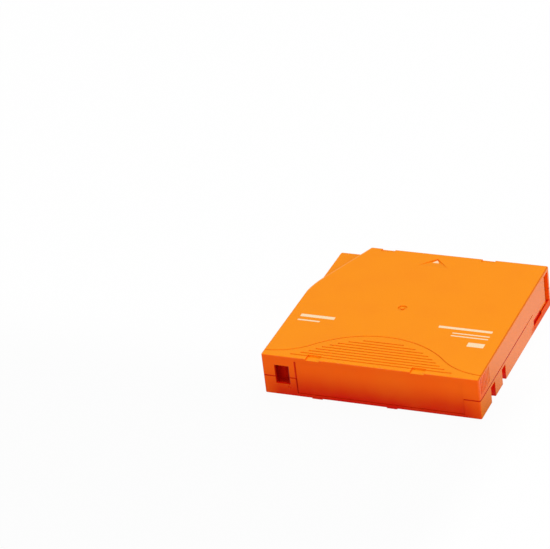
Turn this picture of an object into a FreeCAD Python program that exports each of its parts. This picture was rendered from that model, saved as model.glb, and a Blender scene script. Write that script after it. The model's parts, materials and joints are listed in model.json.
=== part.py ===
import FreeCAD, Part
import os
import re
import Sketcher

# A half inch tape cartridge in millimetres: +X right, +Y the way it is pushed in, +Z up.
# The origin lies under the middle of the case, at the height of its resting pads.

# Driving sizes
SIZES = {
    # Case
    "case_width": 105.4,
    "case_depth": 102.0,
    "wall": 1.6,
    "top_plate": 1.6,
    "floor_plate": 1.5,
    "pad_height": 0.4,
    "pad_width": 5.0,
    "pad_length": 4.0,
    "pad_inset": 0.2,
    "pad_left": 27.0,
    "pad_right": 9.5,
    "seam_height": 10.1,
    "seam_gap": 0.5,
    "seam_depth": 0.4,
    "corner_radius": 0.9,
    "top_edge_radius": 0.8,
    "base_edge_radius": 0.4,
    # Stepped corner
    "step_drop": 5.0,
    "step_angle": 22.3,
    "step_run_out": 0.3,
    "step_edge_radius": 0.6,
    # Marks on the top
    "stack_notch_width": 6.7,
    "stack_notch_left": 27.3,
    "stack_notch_right": 23.4,
    "stack_notch_label_length": 3.8,
    "stack_notch_front_length": 2.8,
    "stack_notch_depth": 0.9,
    "gate_radius": 2.2,
    "gate_nub_radius": 0.9,
    "gate_depth": 0.5,
    "arrow_left": 1.0,
    "arrow_tip": 4.4,
    "arrow_length": 7.6,
    "arrow_half_width": 7.6,
    "arrow_depth": 0.7,
    "arrow_start": 0.02,
    "arrow_point": 0.05,
    # Bell shaped grip
    "bell_reach": 25.5,
    "bell_radius": 45.0,
    "bell_foot": 3.8,
    "bell_line": 0.5,
    "bell_depth": 0.35,
    "grip_first": 5.2,
    "grip_pitch": 2.2,
    "grip_margin": 4.0,
    "grip_width": 0.8,
    "grip_depth": 0.35,
    "side_grip_first": 2.5,
    "side_grip_pitch": 1.8,
    "side_grip_rise": 2.3,
    "side_grip_top": 1.3,
    "side_grip_width": 0.7,
    "side_grip_depth": 0.45,
    # Label panel and window
    "label_width": 80.8,
    "label_right_margin": 8.1,
    "label_low": 2.2,
    "label_top_margin": 2.3,
    "label_recess": 0.4,
    "panel_gap": 0.2,
    "window_margin": 6.0,
    "window_width": 7.2,
    "window_low": 6.2,
    "window_height": 10.0,
    "catch_margin": 11.5,
    "catch_width": 2.0,
    "catch_low": 4.65,
    "catch_height": 0.5,
    "catch_depth": 0.5,
    # Handling notches in the right side
    "notch_one_start": 14.2,
    "notch_one_width": 5.8,
    "notch_two_start": 29.7,
    "notch_two_width": 5.0,
    "notch_high": 8.5,
    "notch_depth": 3.2,
    "notch_wall": 1.3,
    # Locating holes in the base
    "locating_radius": 2.5,
    "locating_depth": 3.8,
    "locating_boss": 1.4,
    "locating_hole_side": 10.5,
    "locating_hole_front": 14.2,
    "locating_slot_side": 24.7,
    "locating_slot_front": 5.0,
    "locating_slot_length": 2.0,
    "bush_gap": 0.05,
    "bush_collar": 0.8,
    "bush_collar_height": 0.8,
    # Tape exit and door
    "exit_start": 26.0,
    "exit_post": 2.2,
    "sill_wall": 0.6,
    "sill_rise": 1.3,
    "sill_step": 1.0,
    "sill_length": 12.5,
    "door_gap": 0.15,
    "door_thickness": 1.5,
    "door_leaf": 0.9,
    "door_panel_rise": 2.2,
    "door_panel_gap": 0.3,
    "door_travel": 20.0,
    "door_lap": 2.0,
    "door_front_margin": 5.5,
    "door_edge_radius": 0.5,
    "door_arm_length": 1.4,
    # Door spring and the lane it lies in
    "door_spring_length": 30.0,
    "door_spring_radius": 0.95,
    "door_spring_wire": 0.4,
    "lane_gap": 0.1,
    "lane_clearance": 0.25,
    "lane_stop": 2.0,
    # Reel
    "reel_left": 2.2,
    "reel_forward": 0.5,
    "reel_gap": 0.65,
    "reel_drop": 1.45,
    "reel_headroom": 1.45,
    "flange_thickness": 1.1,
    "tape_width": 12.65,
    "tape_slack": 0.125,
    "tape_wound": 16.0,
    "tape_film": 0.1,
    "tape_run_gap": 0.3,
    "wound_gap": 0.02,
    "hub_radius": 22.0,
    "hub_wall": 2.0,
    "hub_rim_width": 2.0,
    "hub_rim_gap": 0.1,
    "floor_hole_radius": 18.8,
    "floor_hole_lap": 0.4,
    "web_rise": 0.85,
    "web_thickness": 1.2,
    "collar_gap": 0.1,
    "collar_thickness": 1.3,
    "collar_depth": 2.1,
    # Drive gear and plate
    "gear_radius": 14.2,
    "gear_width": 3.4,
    "gear_depth": 1.6,
    "gear_tooth_height": 1.0,
    "gear_tooth_base": 1.2,
    "gear_tooth_tip": 0.3,
    "gear_tooth_inset": 0.2,
    "plate_radius": 12.6,
    "plate_hole": 5.5,
    "plate_thickness": 1.1,
    # Brake
    "brake_ring_radius": 10.0,
    "brake_ring_width": 3.0,
    "brake_ring_rise": 1.5,
    "brake_tooth_height": 1.3,
    "brake_tooth_base": 1.0,
    "brake_tooth_tip": 0.3,
    "brake_tooth_gap": 0.15,
    "brake_disc_margin": 0.6,
    "brake_disc_thickness": 1.5,
    "brake_socket_radius": 5.0,
    "brake_socket_height": 5.65,
    "brake_boss_radius": 2.5,
    "key_length": 7.0,
    "key_width": 1.2,
    "key_gap": 0.15,
    "key_floor": 0.75,
    "key_headroom": 1.9,
    "brake_spring_radius": 6.2,
    "brake_spring_wire": 0.8,
    "spring_seat_gap": 0.05,
    # Brake release
    "release_lift_gap": 0.1,
    "release_thickness": 1.1,
    "release_centre": 6.0,
    "release_arm_width": 3.6,
    "release_arm_gap": 0.4,
    "release_leg_circle": 15.9,
    "release_leg_radius": 1.2,
    "release_leg_gap": 0.25,
    "release_leg_set_back": 0.2,
    # Leader pin
    "pin_side": 7.1,
    "pin_front": 15.0,
    "pin_end_gap": 0.3,
    "pin_head_radius": 2.0,
    "pin_head_height": 0.8,
    "pin_neck_radius": 1.25,
    "pin_collar_radius": 2.6,
    "pin_collar_height": 0.55,
    "pin_core_radius": 1.1,
    "clip_gap": 0.1,
    "clip_thickness": 0.7,
    "clip_slot": 1.2,
    "clip_end_gap": 0.3,
    "pin_spring_gap": 0.1,
    "pin_spring_sheet": 0.25,
    "pin_spring_back": 4.4,
    "pin_spring_lip": 0.5,
    "pin_spring_reach": 0.1,
    "pin_holder_wall": 1.2,
    "pin_holder_hook": 1.0,
    "pin_holder_gap": 0.1,
    # Write protect slide
    "tab_peek": 0.8,
    "tab_overlap": 0.9,
    "tab_depth": 3.2,
    "tab_gap": 0.2,
    "tab_rib_width": 0.65,
    "tab_rib_height": 0.9,
    "tab_rib_margin": 0.4,
    "tab_cover": 0.6,
    "rail_thickness": 0.8,
    "rail_gap": 0.15,
    "rail_height": 2.5,
    "rail_overrun": 1.0,
    "sense_hole_radius": 1.6,
    "sense_hole_inset": 1.8,
    # Memory board
    "memory_angle": 45.0,
    "memory_side": 11.2,
    "memory_width": 17.0,
    "memory_length": 9.4,
    "memory_thickness": 0.6,
    "memory_wall_gap": 1.0,
    "memory_floor_gap": 0.2,
    "antenna_margin": 0.6,
    "antenna_width": 1.6,
    "antenna_thickness": 0.1,
    "chip_size": 3.2,
    "chip_height": 0.7,
    "cradle_thickness": 1.2,
    "cradle_inset": 1.0,
    # Screws
    "screw_post_radius": 3.0,
    "screw_shank_radius": 1.2,
    "screw_hole_gap": 0.1,
    "screw_head_radius": 2.1,
    "screw_head_height": 1.4,
    "screw_head_gap": 0.2,
    "screw_seat": 5.0,
    "screw_length": 8.0,
    "screw_tip": 1.5,
    "screw_pilot_spare": 0.4,
    "screw_slot_width": 0.6,
    "screw_slot_depth": 0.7,
    "front_left_screw_side": 6.7,
    "front_left_screw_front": 7.0,
    "label_left_screw_side": 5.4,
    "label_left_screw_back": 11.5,
    "label_right_screw_side": 6.2,
    "label_right_screw_back": 6.0,
    "front_right_screw_side": 16.7,
    "front_right_screw_front": 5.0,
    # Reach of cutting shapes past the surface they start from
    "spare": 1.0,
}

GRIP_LINES = 9
SIDE_GRIP_LINES = 7
GEAR_TEETH = 60
BRAKE_TEETH = 36
RELEASE_LEGS = 3
BRAKE_SPRING_TURNS = 4
DOOR_SPRING_TURNS = 15
# The reel stands half a tooth on from the brake, so that their teeth mesh
REEL_TURN = f"180 / {BRAKE_TEETH}"

# Places and sizes that follow from the driving sizes
FORMULAS = {
    "half_width": "case_width / 2",
    "half_depth": "case_depth / 2",
    "inner_x": "half_width - wall",
    "inner_y": "half_depth - wall",
    "base_z": "pad_height",
    "floor_top": "base_z + floor_plate",
    "flange_low": "floor_top + reel_drop",
    "flange_high": "flange_low + flange_thickness",
    "tape_low": "flange_high + tape_slack",
    "tape_high": "tape_low + tape_width",
    "top_flange_low": "tape_high + tape_slack",
    "top_flange_high": "top_flange_low + flange_thickness",
    "ceiling": "top_flange_high + reel_headroom",
    "case_height": "ceiling + top_plate",
    "middle_z": "(floor_top + ceiling) / 2",
    "reel_x": "-reel_left",
    "reel_y": "reel_forward",
    "reel_room": "min(half_width - reel_left; half_depth - reel_forward)",
    "flange_radius": "reel_room - wall - reel_gap",
    "pack_radius": "hub_radius + tape_wound",
    # Stepped corner, outside and inside the wall
    "step_top": "case_height - step_drop",
    "step_ceiling": "step_top - top_plate",
    "step_radius": "half_width - reel_left + step_run_out",
    "step_side_y": "reel_y + sqrt(step_radius^2 - (half_width - reel_left)^2)",
    "step_turn_x": "reel_x - step_radius * cos(step_angle)",
    "step_turn_y": "reel_y + step_radius * sin(step_angle)",
    "step_front_x": "reel_x - (step_radius - (half_depth - reel_y) * sin(step_angle)) / cos(step_angle)",
    "cave_radius": "step_radius - wall",
    "cave_side_y": "reel_y + sqrt(cave_radius^2 - (inner_x - reel_left)^2)",
    "cave_turn_x": "reel_x - cave_radius * cos(step_angle)",
    "cave_turn_y": "reel_y + cave_radius * sin(step_angle)",
    "cave_front_x": "reel_x - (cave_radius - (inner_y - reel_y) * sin(step_angle)) / cos(step_angle)",
    # Bell line: one arc over the middle and a hollow arc to each side
    "bell_centre_y": "-half_depth + bell_reach - bell_radius",
    "bell_drop": "bell_foot - bell_reach + bell_radius",
    "bell_end_radius": "(half_width^2 + bell_drop^2 - bell_radius^2) / (2 * (bell_radius - bell_drop))",
    "bell_span": "bell_radius + bell_end_radius",
    "bell_foot_y": "-half_depth + bell_foot",
    "bell_end_y": "bell_foot_y + bell_end_radius",
    "grip_radius": "bell_radius - grip_margin",
    "grip_end_radius": "bell_end_radius + grip_margin",
    "grip_turn_y": "bell_centre_y + grip_radius * (bell_drop + bell_end_radius) / bell_span",
    # Label panel and window
    "label_right": "half_width - label_right_margin",
    "label_left": "label_right - label_width",
    "label_high": "case_height - label_top_margin",
    "label_face": "half_depth - label_recess",
    "window_left": "-half_width + window_margin",
    "window_right": "window_left + window_width",
    "window_high": "window_low + window_height",
    "catch_left": "-half_width + catch_margin",
    # Notches
    "notch_one_low": "-half_depth + notch_one_start",
    "notch_one_high": "notch_one_low + notch_one_width",
    "notch_two_low": "-half_depth + notch_two_start",
    "notch_two_high": "notch_two_low + notch_two_width",
    "notch_floor": "half_width - notch_depth",
    # Exit and door
    "exit_back": "half_depth - exit_start",
    "exit_front": "half_depth - exit_post",
    "sill_top": "floor_top + sill_rise",
    "sill_high": "sill_top + sill_step",
    "sill_turn": "exit_back + sill_length",
    "bay_out": "half_width - sill_wall",
    "door_out": "bay_out - door_gap",
    "door_in": "door_out - door_thickness",
    "leaf_out": "door_in + door_leaf",
    "door_back": "exit_back - door_lap",
    "door_front": "half_depth - door_front_margin",
    "door_low": "sill_top + door_panel_rise",
    "door_step": "sill_high + door_panel_gap",
    "bay_back": "door_back - door_travel - spare",
    "spring_reach": "door_spring_radius + door_spring_wire / 2",
    "lane_out": "door_in - lane_clearance",
    "lane_x": "lane_out - spring_reach - lane_gap",
    "lane_in": "lane_x - spring_reach - lane_gap",
    "lane_low": "middle_z - spring_reach - lane_gap",
    "lane_high": "middle_z + spring_reach + lane_gap",
    "lane_back": "door_back - door_spring_length",
    # Leader pin
    "pin_x": "half_width - pin_side",
    "pin_y": "half_depth - pin_front",
    "pin_low": "floor_top + pin_end_gap",
    "pin_high": "ceiling - pin_end_gap",
    "pin_neck_low": "pin_low + pin_head_height",
    "pin_neck_high": "pin_high - pin_head_height",
    "pin_tape_low": "flange_high",
    "pin_tape_high": "top_flange_low",
    "clip_in": "pin_core_radius + clip_gap",
    "clip_out": "clip_in + clip_thickness",
    "pin_spring_half": "pin_head_radius + pin_spring_gap",
    "pin_spring_x": "pin_x - pin_spring_back",
    "pin_spring_end": "pin_x + pin_head_radius + pin_spring_reach",
    "pin_hook_y": "pin_spring_half + pin_spring_sheet + pin_holder_gap",
    # Run of tape from the wound tape to the pin
    "run_offset": "pack_radius + tape_run_gap + tape_film / 2",
    "run_span": "sqrt((pin_x - reel_x)^2 + (pin_y - reel_y)^2)",
    "run_angle": "atan2(pin_y - reel_y; pin_x - reel_x) - acos(run_offset / run_span)",
    "run_length": "sqrt(run_span^2 - run_offset^2) - pin_core_radius - tape_film",
    "run_cos": "cos(run_angle)",
    "run_sin": "sin(run_angle)",
    # Reel heights
    "rim_low": "floor_top + hub_rim_gap",
    "rim_in": "floor_hole_radius + floor_hole_lap",
    "web_low": "flange_low + web_rise",
    "web_top": "web_low + web_thickness",
    "hub_bore": "hub_radius - hub_wall",
    "gear_root": "web_low - gear_depth",
    "gear_tip": "gear_root - gear_tooth_height",
    "gear_out": "gear_radius + gear_width",
    "ring_top": "web_top + brake_ring_rise",
    "ring_tip": "ring_top + brake_tooth_height",
    "ring_out": "brake_ring_radius + brake_ring_width",
    # Brake heights
    "brake_low": "ring_tip + brake_tooth_gap",
    "brake_tip": "brake_low - brake_tooth_height",
    "brake_top": "brake_low + brake_disc_thickness",
    "socket_top": "brake_top + brake_socket_height",
    "socket_floor": "brake_top + key_floor",
    "key_low": "socket_floor + key_headroom",
    "release_low": "web_top + release_lift_gap",
    "release_top": "release_low + release_thickness",
    "release_foot": "gear_tip + release_leg_set_back",
    "leg_hole": "release_leg_radius + release_leg_gap",
    "arm_slot": "release_arm_width / 2 + release_arm_gap",
    # Write protect slide
    "tab_left": "window_right - tab_peek",
    "tab_right": "tab_left + window_width + tab_overlap",
    "tab_front": "-inner_y + tab_gap",
    "tab_back": "tab_front + tab_depth",
    "tab_low": "floor_top + rail_gap",
    "tab_high": "window_high + tab_cover",
    "rail_front": "tab_back + rail_gap",
    "rail_back": "rail_front + rail_thickness",
    "rail_left": "window_left - rail_overrun",
    "rail_right": "tab_right + rail_overrun",
    # Memory board, lying against two sloping ribs
    "memory_left": "half_width - memory_side - memory_width",
    "memory_right": "half_width - memory_side",
    "memory_high_y": "-inner_y + memory_wall_gap",
    "memory_low_z": "floor_top + memory_floor_gap",
    "memory_high_z": "memory_low_z + memory_length * sin(memory_angle)",
    "cradle_y": "-inner_y + panel_gap",
    "cradle_high": "memory_high_z + (memory_high_y - cradle_y) * tan(memory_angle)",
    "cradle_end": "memory_high_y + (memory_high_z - floor_top) / tan(memory_angle)",
    # Screws
    "screw_head_low": "screw_seat - screw_head_height",
    "screw_end": "screw_seat + screw_length",
    "screw_hole": "screw_shank_radius + screw_hole_gap",
    # Locating slot
    "slot_x": "half_width - locating_slot_side",
    "slot_y": "half_depth - locating_slot_front",
    "locating_x": "-half_width + locating_hole_side",
    "locating_y": "half_depth - locating_hole_front",
    "locating_top": "base_z + locating_depth",
    "boss_top": "locating_top + locating_boss",
    "boss_radius": "locating_radius + locating_boss",
}

SCREW_PLACES = [
    ("-half_width + front_left_screw_side", "half_depth - front_left_screw_front"),
    ("-half_width + label_left_screw_side", "-half_depth + label_left_screw_back"),
    ("half_width - label_right_screw_side", "-half_depth + label_right_screw_back"),
    ("half_width - front_right_screw_side", "half_depth - front_right_screw_front"),
]

NOTCHES = [("notch_one_low", "notch_one_high"), ("notch_two_low", "notch_two_high")]

# The two bars of the cross that keeps the brake from turning
KEY_BARS = [
    ("key_across", "key_length", "key_width"),
    ("key_along", "key_width", "key_length"),
]

Vector = FreeCAD.Vector

doc = FreeCAD.newDocument("tape_cartridge")
sheet = doc.addObject("Spreadsheet::Sheet", "Sizes")
for row, (alias, size) in enumerate(SIZES.items(), start=1):
    sheet.set(f"A{row}", str(size))
    sheet.setAlias(f"A{row}", alias)
doc.recompute()


def bound(formula):
    """Point each word of a formula at its cell or at the value worked out from the cells."""
    def owner(match):
        word = match.group(0)
        if word in SIZES:
            return "Sizes." + word
        if word in FORMULAS:
            return "Derived." + word
        return word
    return re.sub(r"[a-z_][a-z_0-9]*", owner, formula)


derived = doc.addObject("App::VarSet", "Derived")
for word in FORMULAS:
    derived.addProperty("App::PropertyFloat", word)
for word, formula in FORMULAS.items():
    derived.setExpression(word, bound(formula))
doc.recompute()

trial = doc.addObject("App::VarSet", "Trial")
trial.addProperty("App::PropertyFloat", "number")


def number(formula):
    """The present value of a formula, worked out by the document."""
    trial.setExpression("number", bound(formula))
    trial.recompute()
    return trial.number


# Loops of a sketch
def polygon(*corners):
    """A closed loop. A corner with a radius is reached by an arc, turning left if positive."""
    def draw(sketch):
        first = sketch.GeometryCount
        count = len(corners)
        places = [Vector(number(corner[0]), number(corner[1]), 0) for corner in corners]
        for index, corner in enumerate(corners):
            start = places[index - 1]
            end = places[index]
            if len(corner) == 2:
                sketch.addGeometry(Part.LineSegment(start, end))
            else:
                sketch.addGeometry(arc_between(start, end, number(corner[2])))
        for index, corner in enumerate(corners):
            line = first + index
            end_point = end_of(corner)
            following = first + (index + 1) % count
            start_point = start_of(corners[(index + 1) % count])
            joined = Sketcher.Constraint("Coincident", line, end_point, following, start_point)
            sketch.addConstraint(joined)
            hold(sketch, "DistanceX", line, end_point, places[index].x, corner[0])
            hold(sketch, "DistanceY", line, end_point, places[index].y, corner[1])
        for index, corner in enumerate(corners):
            if len(corner) > 2:
                hold_radius(sketch, first + index, f"abs({corner[2]})")
    return draw


def turns_right(corner):
    return len(corner) > 2 and number(corner[2]) < 0


def end_of(corner):
    """Arcs run to the left, so one that turns right ends at its first point."""
    return 1 if turns_right(corner) else 2


def start_of(corner):
    return 2 if turns_right(corner) else 1


def arc_between(start, end, radius):
    """The short arc from start to end, with its centre to the left for a positive radius."""
    chord = end - start
    half = chord.Length / 2
    left = Vector(-chord.y, chord.x, 0).normalize()
    rise = max(radius ** 2 - half ** 2, 0) ** 0.5
    centre = (start + end) * 0.5 + left * (rise if radius > 0 else -rise)
    if radius < 0:
        start, end = end, start
    circle_line = Part.Circle(centre, Vector(0, 0, 1), abs(radius))
    return Part.ArcOfCircle(circle_line, circle_line.parameter(start), circle_line.parameter(end))


def hold(sketch, kind, line, point, place, formula):
    """Fix one coordinate of a point to a formula."""
    index = sketch.addConstraint(Sketcher.Constraint(kind, -1, 1, line, point, place))
    sketch.setExpression(f"Constraints[{index}]", bound(formula))


def hold_radius(sketch, line, formula):
    index = sketch.addConstraint(Sketcher.Constraint("Radius", line, number(formula)))
    sketch.setExpression(f"Constraints[{index}]", bound(formula))


def rectangle(left, low, right, high):
    return polygon((left, low), (right, low), (right, high), (left, high))


def circle(x, y, radius):
    def draw(sketch):
        centre = Vector(number(x), number(y), 0)
        line = sketch.addGeometry(Part.Circle(centre, Vector(0, 0, 1), number(radius)))
        hold(sketch, "DistanceX", line, 3, centre.x, x)
        hold(sketch, "DistanceY", line, 3, centre.y, y)
        hold_radius(sketch, line, radius)
    return draw


# Bodies and their features
def new_body(name):
    body = doc.addObject("PartDesign::Body", name)
    body.Label = name
    return body


def origin_feature(body, role):
    return next(item for item in body.Origin.OriginFeatures if item.Role == role)


def draw_sketch(body, name, plane, start, loops):
    """A sketch on an origin plane, set off along X, Y or Z to the place called start."""
    sketch = body.newObject("Sketcher::SketchObject", name + "_sketch")
    sketch.AttachmentSupport = [(origin_feature(body, plane + "_Plane"), "")]
    sketch.MapMode = "FlatFace"
    offset = f"-({start})" if plane == "XZ" else start
    sketch.setExpression("AttachmentOffset.Base.z", bound(offset))
    for draw in loops:
        draw(sketch)
    return sketch


def pad(body, name, plane, start, end, *loops):
    """Material from start to end along the axis that the plane faces."""
    sketch = draw_sketch(body, name, plane, start, loops)
    feature = body.newObject("PartDesign::Pad", name)
    feature.Profile = sketch
    feature.setExpression("Length", bound(f"({end}) - ({start})"))
    feature.Reversed = plane == "XZ"
    return feature


def pocket(body, name, plane, start, end, *loops):
    """A cut from start to end along the axis that the plane faces."""
    sketch = draw_sketch(body, name, plane, start, loops)
    feature = body.newObject("PartDesign::Pocket", name)
    feature.Profile = sketch
    feature.setExpression("Length", bound(f"({end}) - ({start})"))
    feature.Reversed = plane != "XZ"
    return feature


def taper_cut(body, name, first, second):
    """A cut between two loops of X and Z, each given with the Y it stands at."""
    ends = [draw_sketch(body, f"{name}_{word}", "XZ", place, [loop])
            for word, (place, loop) in (("first", first), ("second", second))]
    feature = body.newObject("PartDesign::SubtractiveLoft", name)
    feature.Profile = ends[0]
    feature.Sections = [ends[1]]
    feature.Ruled = True
    return feature


def revolve(body, name, *loops):
    """A turned form: loops of radius and height about the body's Z axis."""
    sketch = draw_sketch(body, name, "XZ", "0", loops)
    feature = body.newObject("PartDesign::Revolution", name)
    feature.Profile = sketch
    feature.ReferenceAxis = (sketch, ["V_Axis"])
    feature.Angle = 360
    return feature


def ring_pattern(body, feature, count):
    """Copies of a feature evenly spaced about the body's Z axis."""
    pattern = body.newObject("PartDesign::PolarPattern", feature.Name + "_ring")
    pattern.Originals = [feature]
    pattern.Axis = (origin_feature(body, "Z_Axis"), [""])
    pattern.Angle = 360
    pattern.Occurrences = count
    body.Tip = pattern
    return pattern


def dress(body, kind, name, size, feature, wanted):
    """A fillet or chamfer on the edges that the test called wanted picks out."""
    doc.recompute()
    edges = [f"Edge{index}" for index, edge in enumerate(feature.Shape.Edges, start=1) if wanted(edge)]
    trim = body.newObject("PartDesign::" + kind, name)
    trim.Base = (feature, edges)
    trim.setExpression("Radius" if kind == "Fillet" else "Size", bound(size))
    return trim


def near(one, other):
    return abs(one - other) < 1e-4


def upright(edge):
    box = edge.BoundBox
    return near(box.XLength, 0) and near(box.YLength, 0)


def level_at(formula):
    """A test for edges that lie level at a height."""
    height = number(formula)

    def wanted(edge):
        box = edge.BoundBox
        return near(box.ZMin, height) and near(box.ZMax, height)
    return wanted


def on_step_edge(edge):
    """The upper edge of the stepped corner's wall, along its straight and its arc."""
    middle = edge.valueAt((edge.FirstParameter + edge.LastParameter) / 2)
    if upright(edge) or middle.z < number("step_top + step_drop / 2"):
        return False
    across = middle - Vector(number("reel_x"), number("reel_y"), middle.z)
    slant = -across.x * number("cos(step_angle)") + across.y * number("sin(step_angle)")
    radius = number("step_radius")
    return near(slant, radius) or near(across.Length, radius)


def place_at(piece, x, y, turn="0"):
    """Stand a piece that was drawn about the origin on its own axis, turned by some degrees."""
    piece.setExpression("Placement.Base.x", bound(x))
    piece.setExpression("Placement.Base.y", bound(y))
    piece.setExpression("Placement.Rotation.Angle", bound(turn))


# Outer block of a half of the case, rounded first, with half of the groove along the seam
def case_block(name, low, high, outer_level, outer_radius):
    body = new_body(name)
    block = pad(body, name + "_block", "XY", low, high,
                rectangle("-half_width", "-half_depth", "half_width", "half_depth"))
    corners = dress(body, "Fillet", name + "_corners", "corner_radius", block, upright)
    dress(body, "Fillet", name + "_edge", outer_radius, corners, level_at(outer_level))
    pocket(body, name + "_seam", "XY", "seam_height - seam_gap / 2", "seam_height + seam_gap / 2",
           rectangle("-half_width - spare", "-half_depth - spare", "half_width + spare", "half_depth + spare"),
           rectangle("-half_width + seam_depth", "-half_depth + seam_depth",
                     "half_width - seam_depth", "half_depth - seam_depth"))
    return body


def bell_band(inner, outer):
    """The band between two bell lines, set off from the drawn one by inner and outer."""
    def side(offset):
        turn_x = f"half_width * (bell_radius + ({offset})) / bell_span"
        rise = f"(bell_drop + bell_end_radius) * (bell_radius + ({offset})) / bell_span"
        return turn_x, f"bell_centre_y + {rise}", f"bell_foot_y + ({offset})"
    turn_out, turn_out_y, foot_out = side(outer)
    turn_in, turn_in_y, foot_in = side(inner)
    return polygon(
        ("half_width", foot_out),
        (turn_out, turn_out_y, f"-(bell_end_radius - ({outer}))"),
        (f"-({turn_out})", turn_out_y, f"bell_radius + ({outer})"),
        ("-half_width", foot_out, f"-(bell_end_radius - ({outer}))"),
        ("-half_width", foot_in),
        (f"-({turn_in})", turn_in_y, f"bell_end_radius - ({inner})"),
        (turn_in, turn_in_y, f"-(bell_radius + ({inner}))"),
        ("half_width", foot_in, f"bell_end_radius - ({inner})"),
    )


def grip_lines():
    """Grooves across the grip, each as long as the bell line inside its margin lets it be."""
    loops = []
    for index in range(GRIP_LINES):
        middle = f"(-half_depth + bell_reach - grip_first - {index} * grip_pitch)"
        over = f"sqrt(max(grip_width^2; grip_radius^2 - ({middle} - bell_centre_y)^2))"
        under = f"half_width - sqrt(max(grip_width^2; grip_end_radius^2 - (bell_end_y - {middle})^2))"
        reach = f"({middle} > grip_turn_y ? {over} : {under})"
        loops.append(rectangle(
            f"-{reach}", f"{middle} - grip_width / 2", reach, f"{middle} + grip_width / 2"))
    return loops


def side_grip_lines():
    """Upright grooves on the right side next to the label end."""
    loops = []
    for index in range(SIDE_GRIP_LINES):
        middle = f"(-half_depth + side_grip_first + {index} * side_grip_pitch)"
        loops.append(rectangle(
            f"{middle} - side_grip_width / 2", "seam_height + side_grip_rise",
            f"{middle} + side_grip_width / 2", "case_height - side_grip_top"))
    return loops


def upper_shell():
    body = case_block("upper_shell", "seam_height", "case_height", "case_height", "top_edge_radius")
    step = pocket(body, "step_cut", "XY", "step_top", "case_height + spare", polygon(
        ("step_front_x", "half_depth"),
        ("step_front_x", "half_depth + spare"),
        ("-half_width - spare", "half_depth + spare"),
        ("-half_width - spare", "step_side_y"),
        ("-half_width", "step_side_y"),
        ("step_turn_x", "step_turn_y", "-step_radius")))
    dress(body, "Fillet", "step_edge", "step_edge_radius", step, on_step_edge)

    # Room for the reel, lower under the stepped corner
    pocket(body, "low_room", "XY", "seam_height - spare", "step_ceiling",
           rectangle("-inner_x", "-inner_y", "inner_x", "inner_y"))
    pocket(body, "high_room", "XY", "step_ceiling - spare", "ceiling", polygon(
        ("-inner_x", "-inner_y"),
        ("inner_x", "-inner_y"),
        ("inner_x", "inner_y"),
        ("cave_front_x", "inner_y"),
        ("cave_turn_x", "cave_turn_y"),
        ("-inner_x", "cave_side_y", "cave_radius")))

    # Posts for the screws, the brake's key and the ribs that guide the spring and the slide
    pad(body, "low_post", "XY", "seam_height", "step_ceiling + top_plate / 2",
        circle(*SCREW_PLACES[0], "screw_post_radius"))
    pad(body, "posts", "XY", "seam_height", "ceiling + top_plate / 2",
        *[circle(x, y, "screw_post_radius") for x, y in SCREW_PLACES[1:]])
    for name, across, along in KEY_BARS:
        pad(body, name, "XY", "key_low", "ceiling + top_plate / 2", rectangle(
            f"reel_x - {across} / 2", f"reel_y - {along} / 2",
            f"reel_x + {across} / 2", f"reel_y + {along} / 2"))
    pad(body, "spring_keeper", "XY", "lane_high", "ceiling + top_plate / 2",
        rectangle("lane_x - spring_reach / 2", "lane_back + lane_stop", "lane_out", "door_back"))
    pad(body, "slide_guide", "XY", "tab_high - rail_height", "ceiling + top_plate / 2",
        rectangle("rail_left", "rail_front", "rail_right", "rail_back"))
    pocket(body, "pilot_holes", "XY", "seam_height - spare", "screw_end + screw_pilot_spare",
           *[circle(x, y, "screw_hole") for x, y in SCREW_PLACES])

    # Label panel, let into the wall and reaching down past the seam
    pocket(body, "label_cut", "XZ", "-half_depth - spare", "-label_face",
           rectangle("label_left", "seam_height - spare", "label_right", "label_high"))
    pad(body, "label_panel", "XZ", "-label_face", "-inner_y",
        rectangle("label_left", "label_low", "label_right", "label_high"))
    pocket(body, "window", "XZ", "-half_depth - spare", "-inner_y + spare / 10",
           rectangle("window_left", "window_low", "window_right", "window_high"))

    # Tape exit in the right side, and the thinner wall that the door slides back behind
    pocket(body, "exit", "XY", "seam_height - spare", "ceiling",
           rectangle("inner_x", "exit_back", "half_width + spare", "exit_front"))
    pocket(body, "door_track", "XY", "seam_height - spare", "ceiling",
           rectangle("inner_x - spare", "bay_back", "bay_out", "door_front + spare"))

    # Marks in the top and the right side
    stack_rows = [
        ("-half_depth - spare", "-half_depth + stack_notch_label_length"),
        ("half_depth - stack_notch_front_length", "half_depth + spare"),
    ]
    stack_loops = [
        rectangle(f"{middle} - stack_notch_width / 2", low, f"{middle} + stack_notch_width / 2", high)
        for middle in ("-stack_notch_left", "stack_notch_right") for low, high in stack_rows]
    pocket(body, "stack_notches", "XY", "case_height - stack_notch_depth", "case_height + spare",
           *stack_loops)
    pocket(body, "gate_mark", "XY", "case_height - gate_depth", "case_height + spare",
           circle("reel_x", "reel_y", "gate_radius"), circle("reel_x", "reel_y", "gate_nub_radius"))
    taper_cut(body, "arrow",
              ("half_depth - arrow_tip - arrow_length", rectangle(
                  "-arrow_left - arrow_half_width", "case_height - arrow_start",
                  "-arrow_left + arrow_half_width", "case_height + spare")),
              ("half_depth - arrow_tip", rectangle(
                  "-arrow_left - arrow_point", "case_height - arrow_depth",
                  "-arrow_left + arrow_point", "case_height + spare")))
    pocket(body, "bell", "XY", "case_height - bell_depth", "case_height + spare",
           bell_band("-bell_line / 2", "bell_line / 2"))
    pocket(body, "grip", "XY", "case_height - grip_depth", "case_height + spare", *grip_lines())
    pocket(body, "side_grip", "YZ", "half_width - side_grip_depth", "half_width + spare", *side_grip_lines())
    return body


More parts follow.
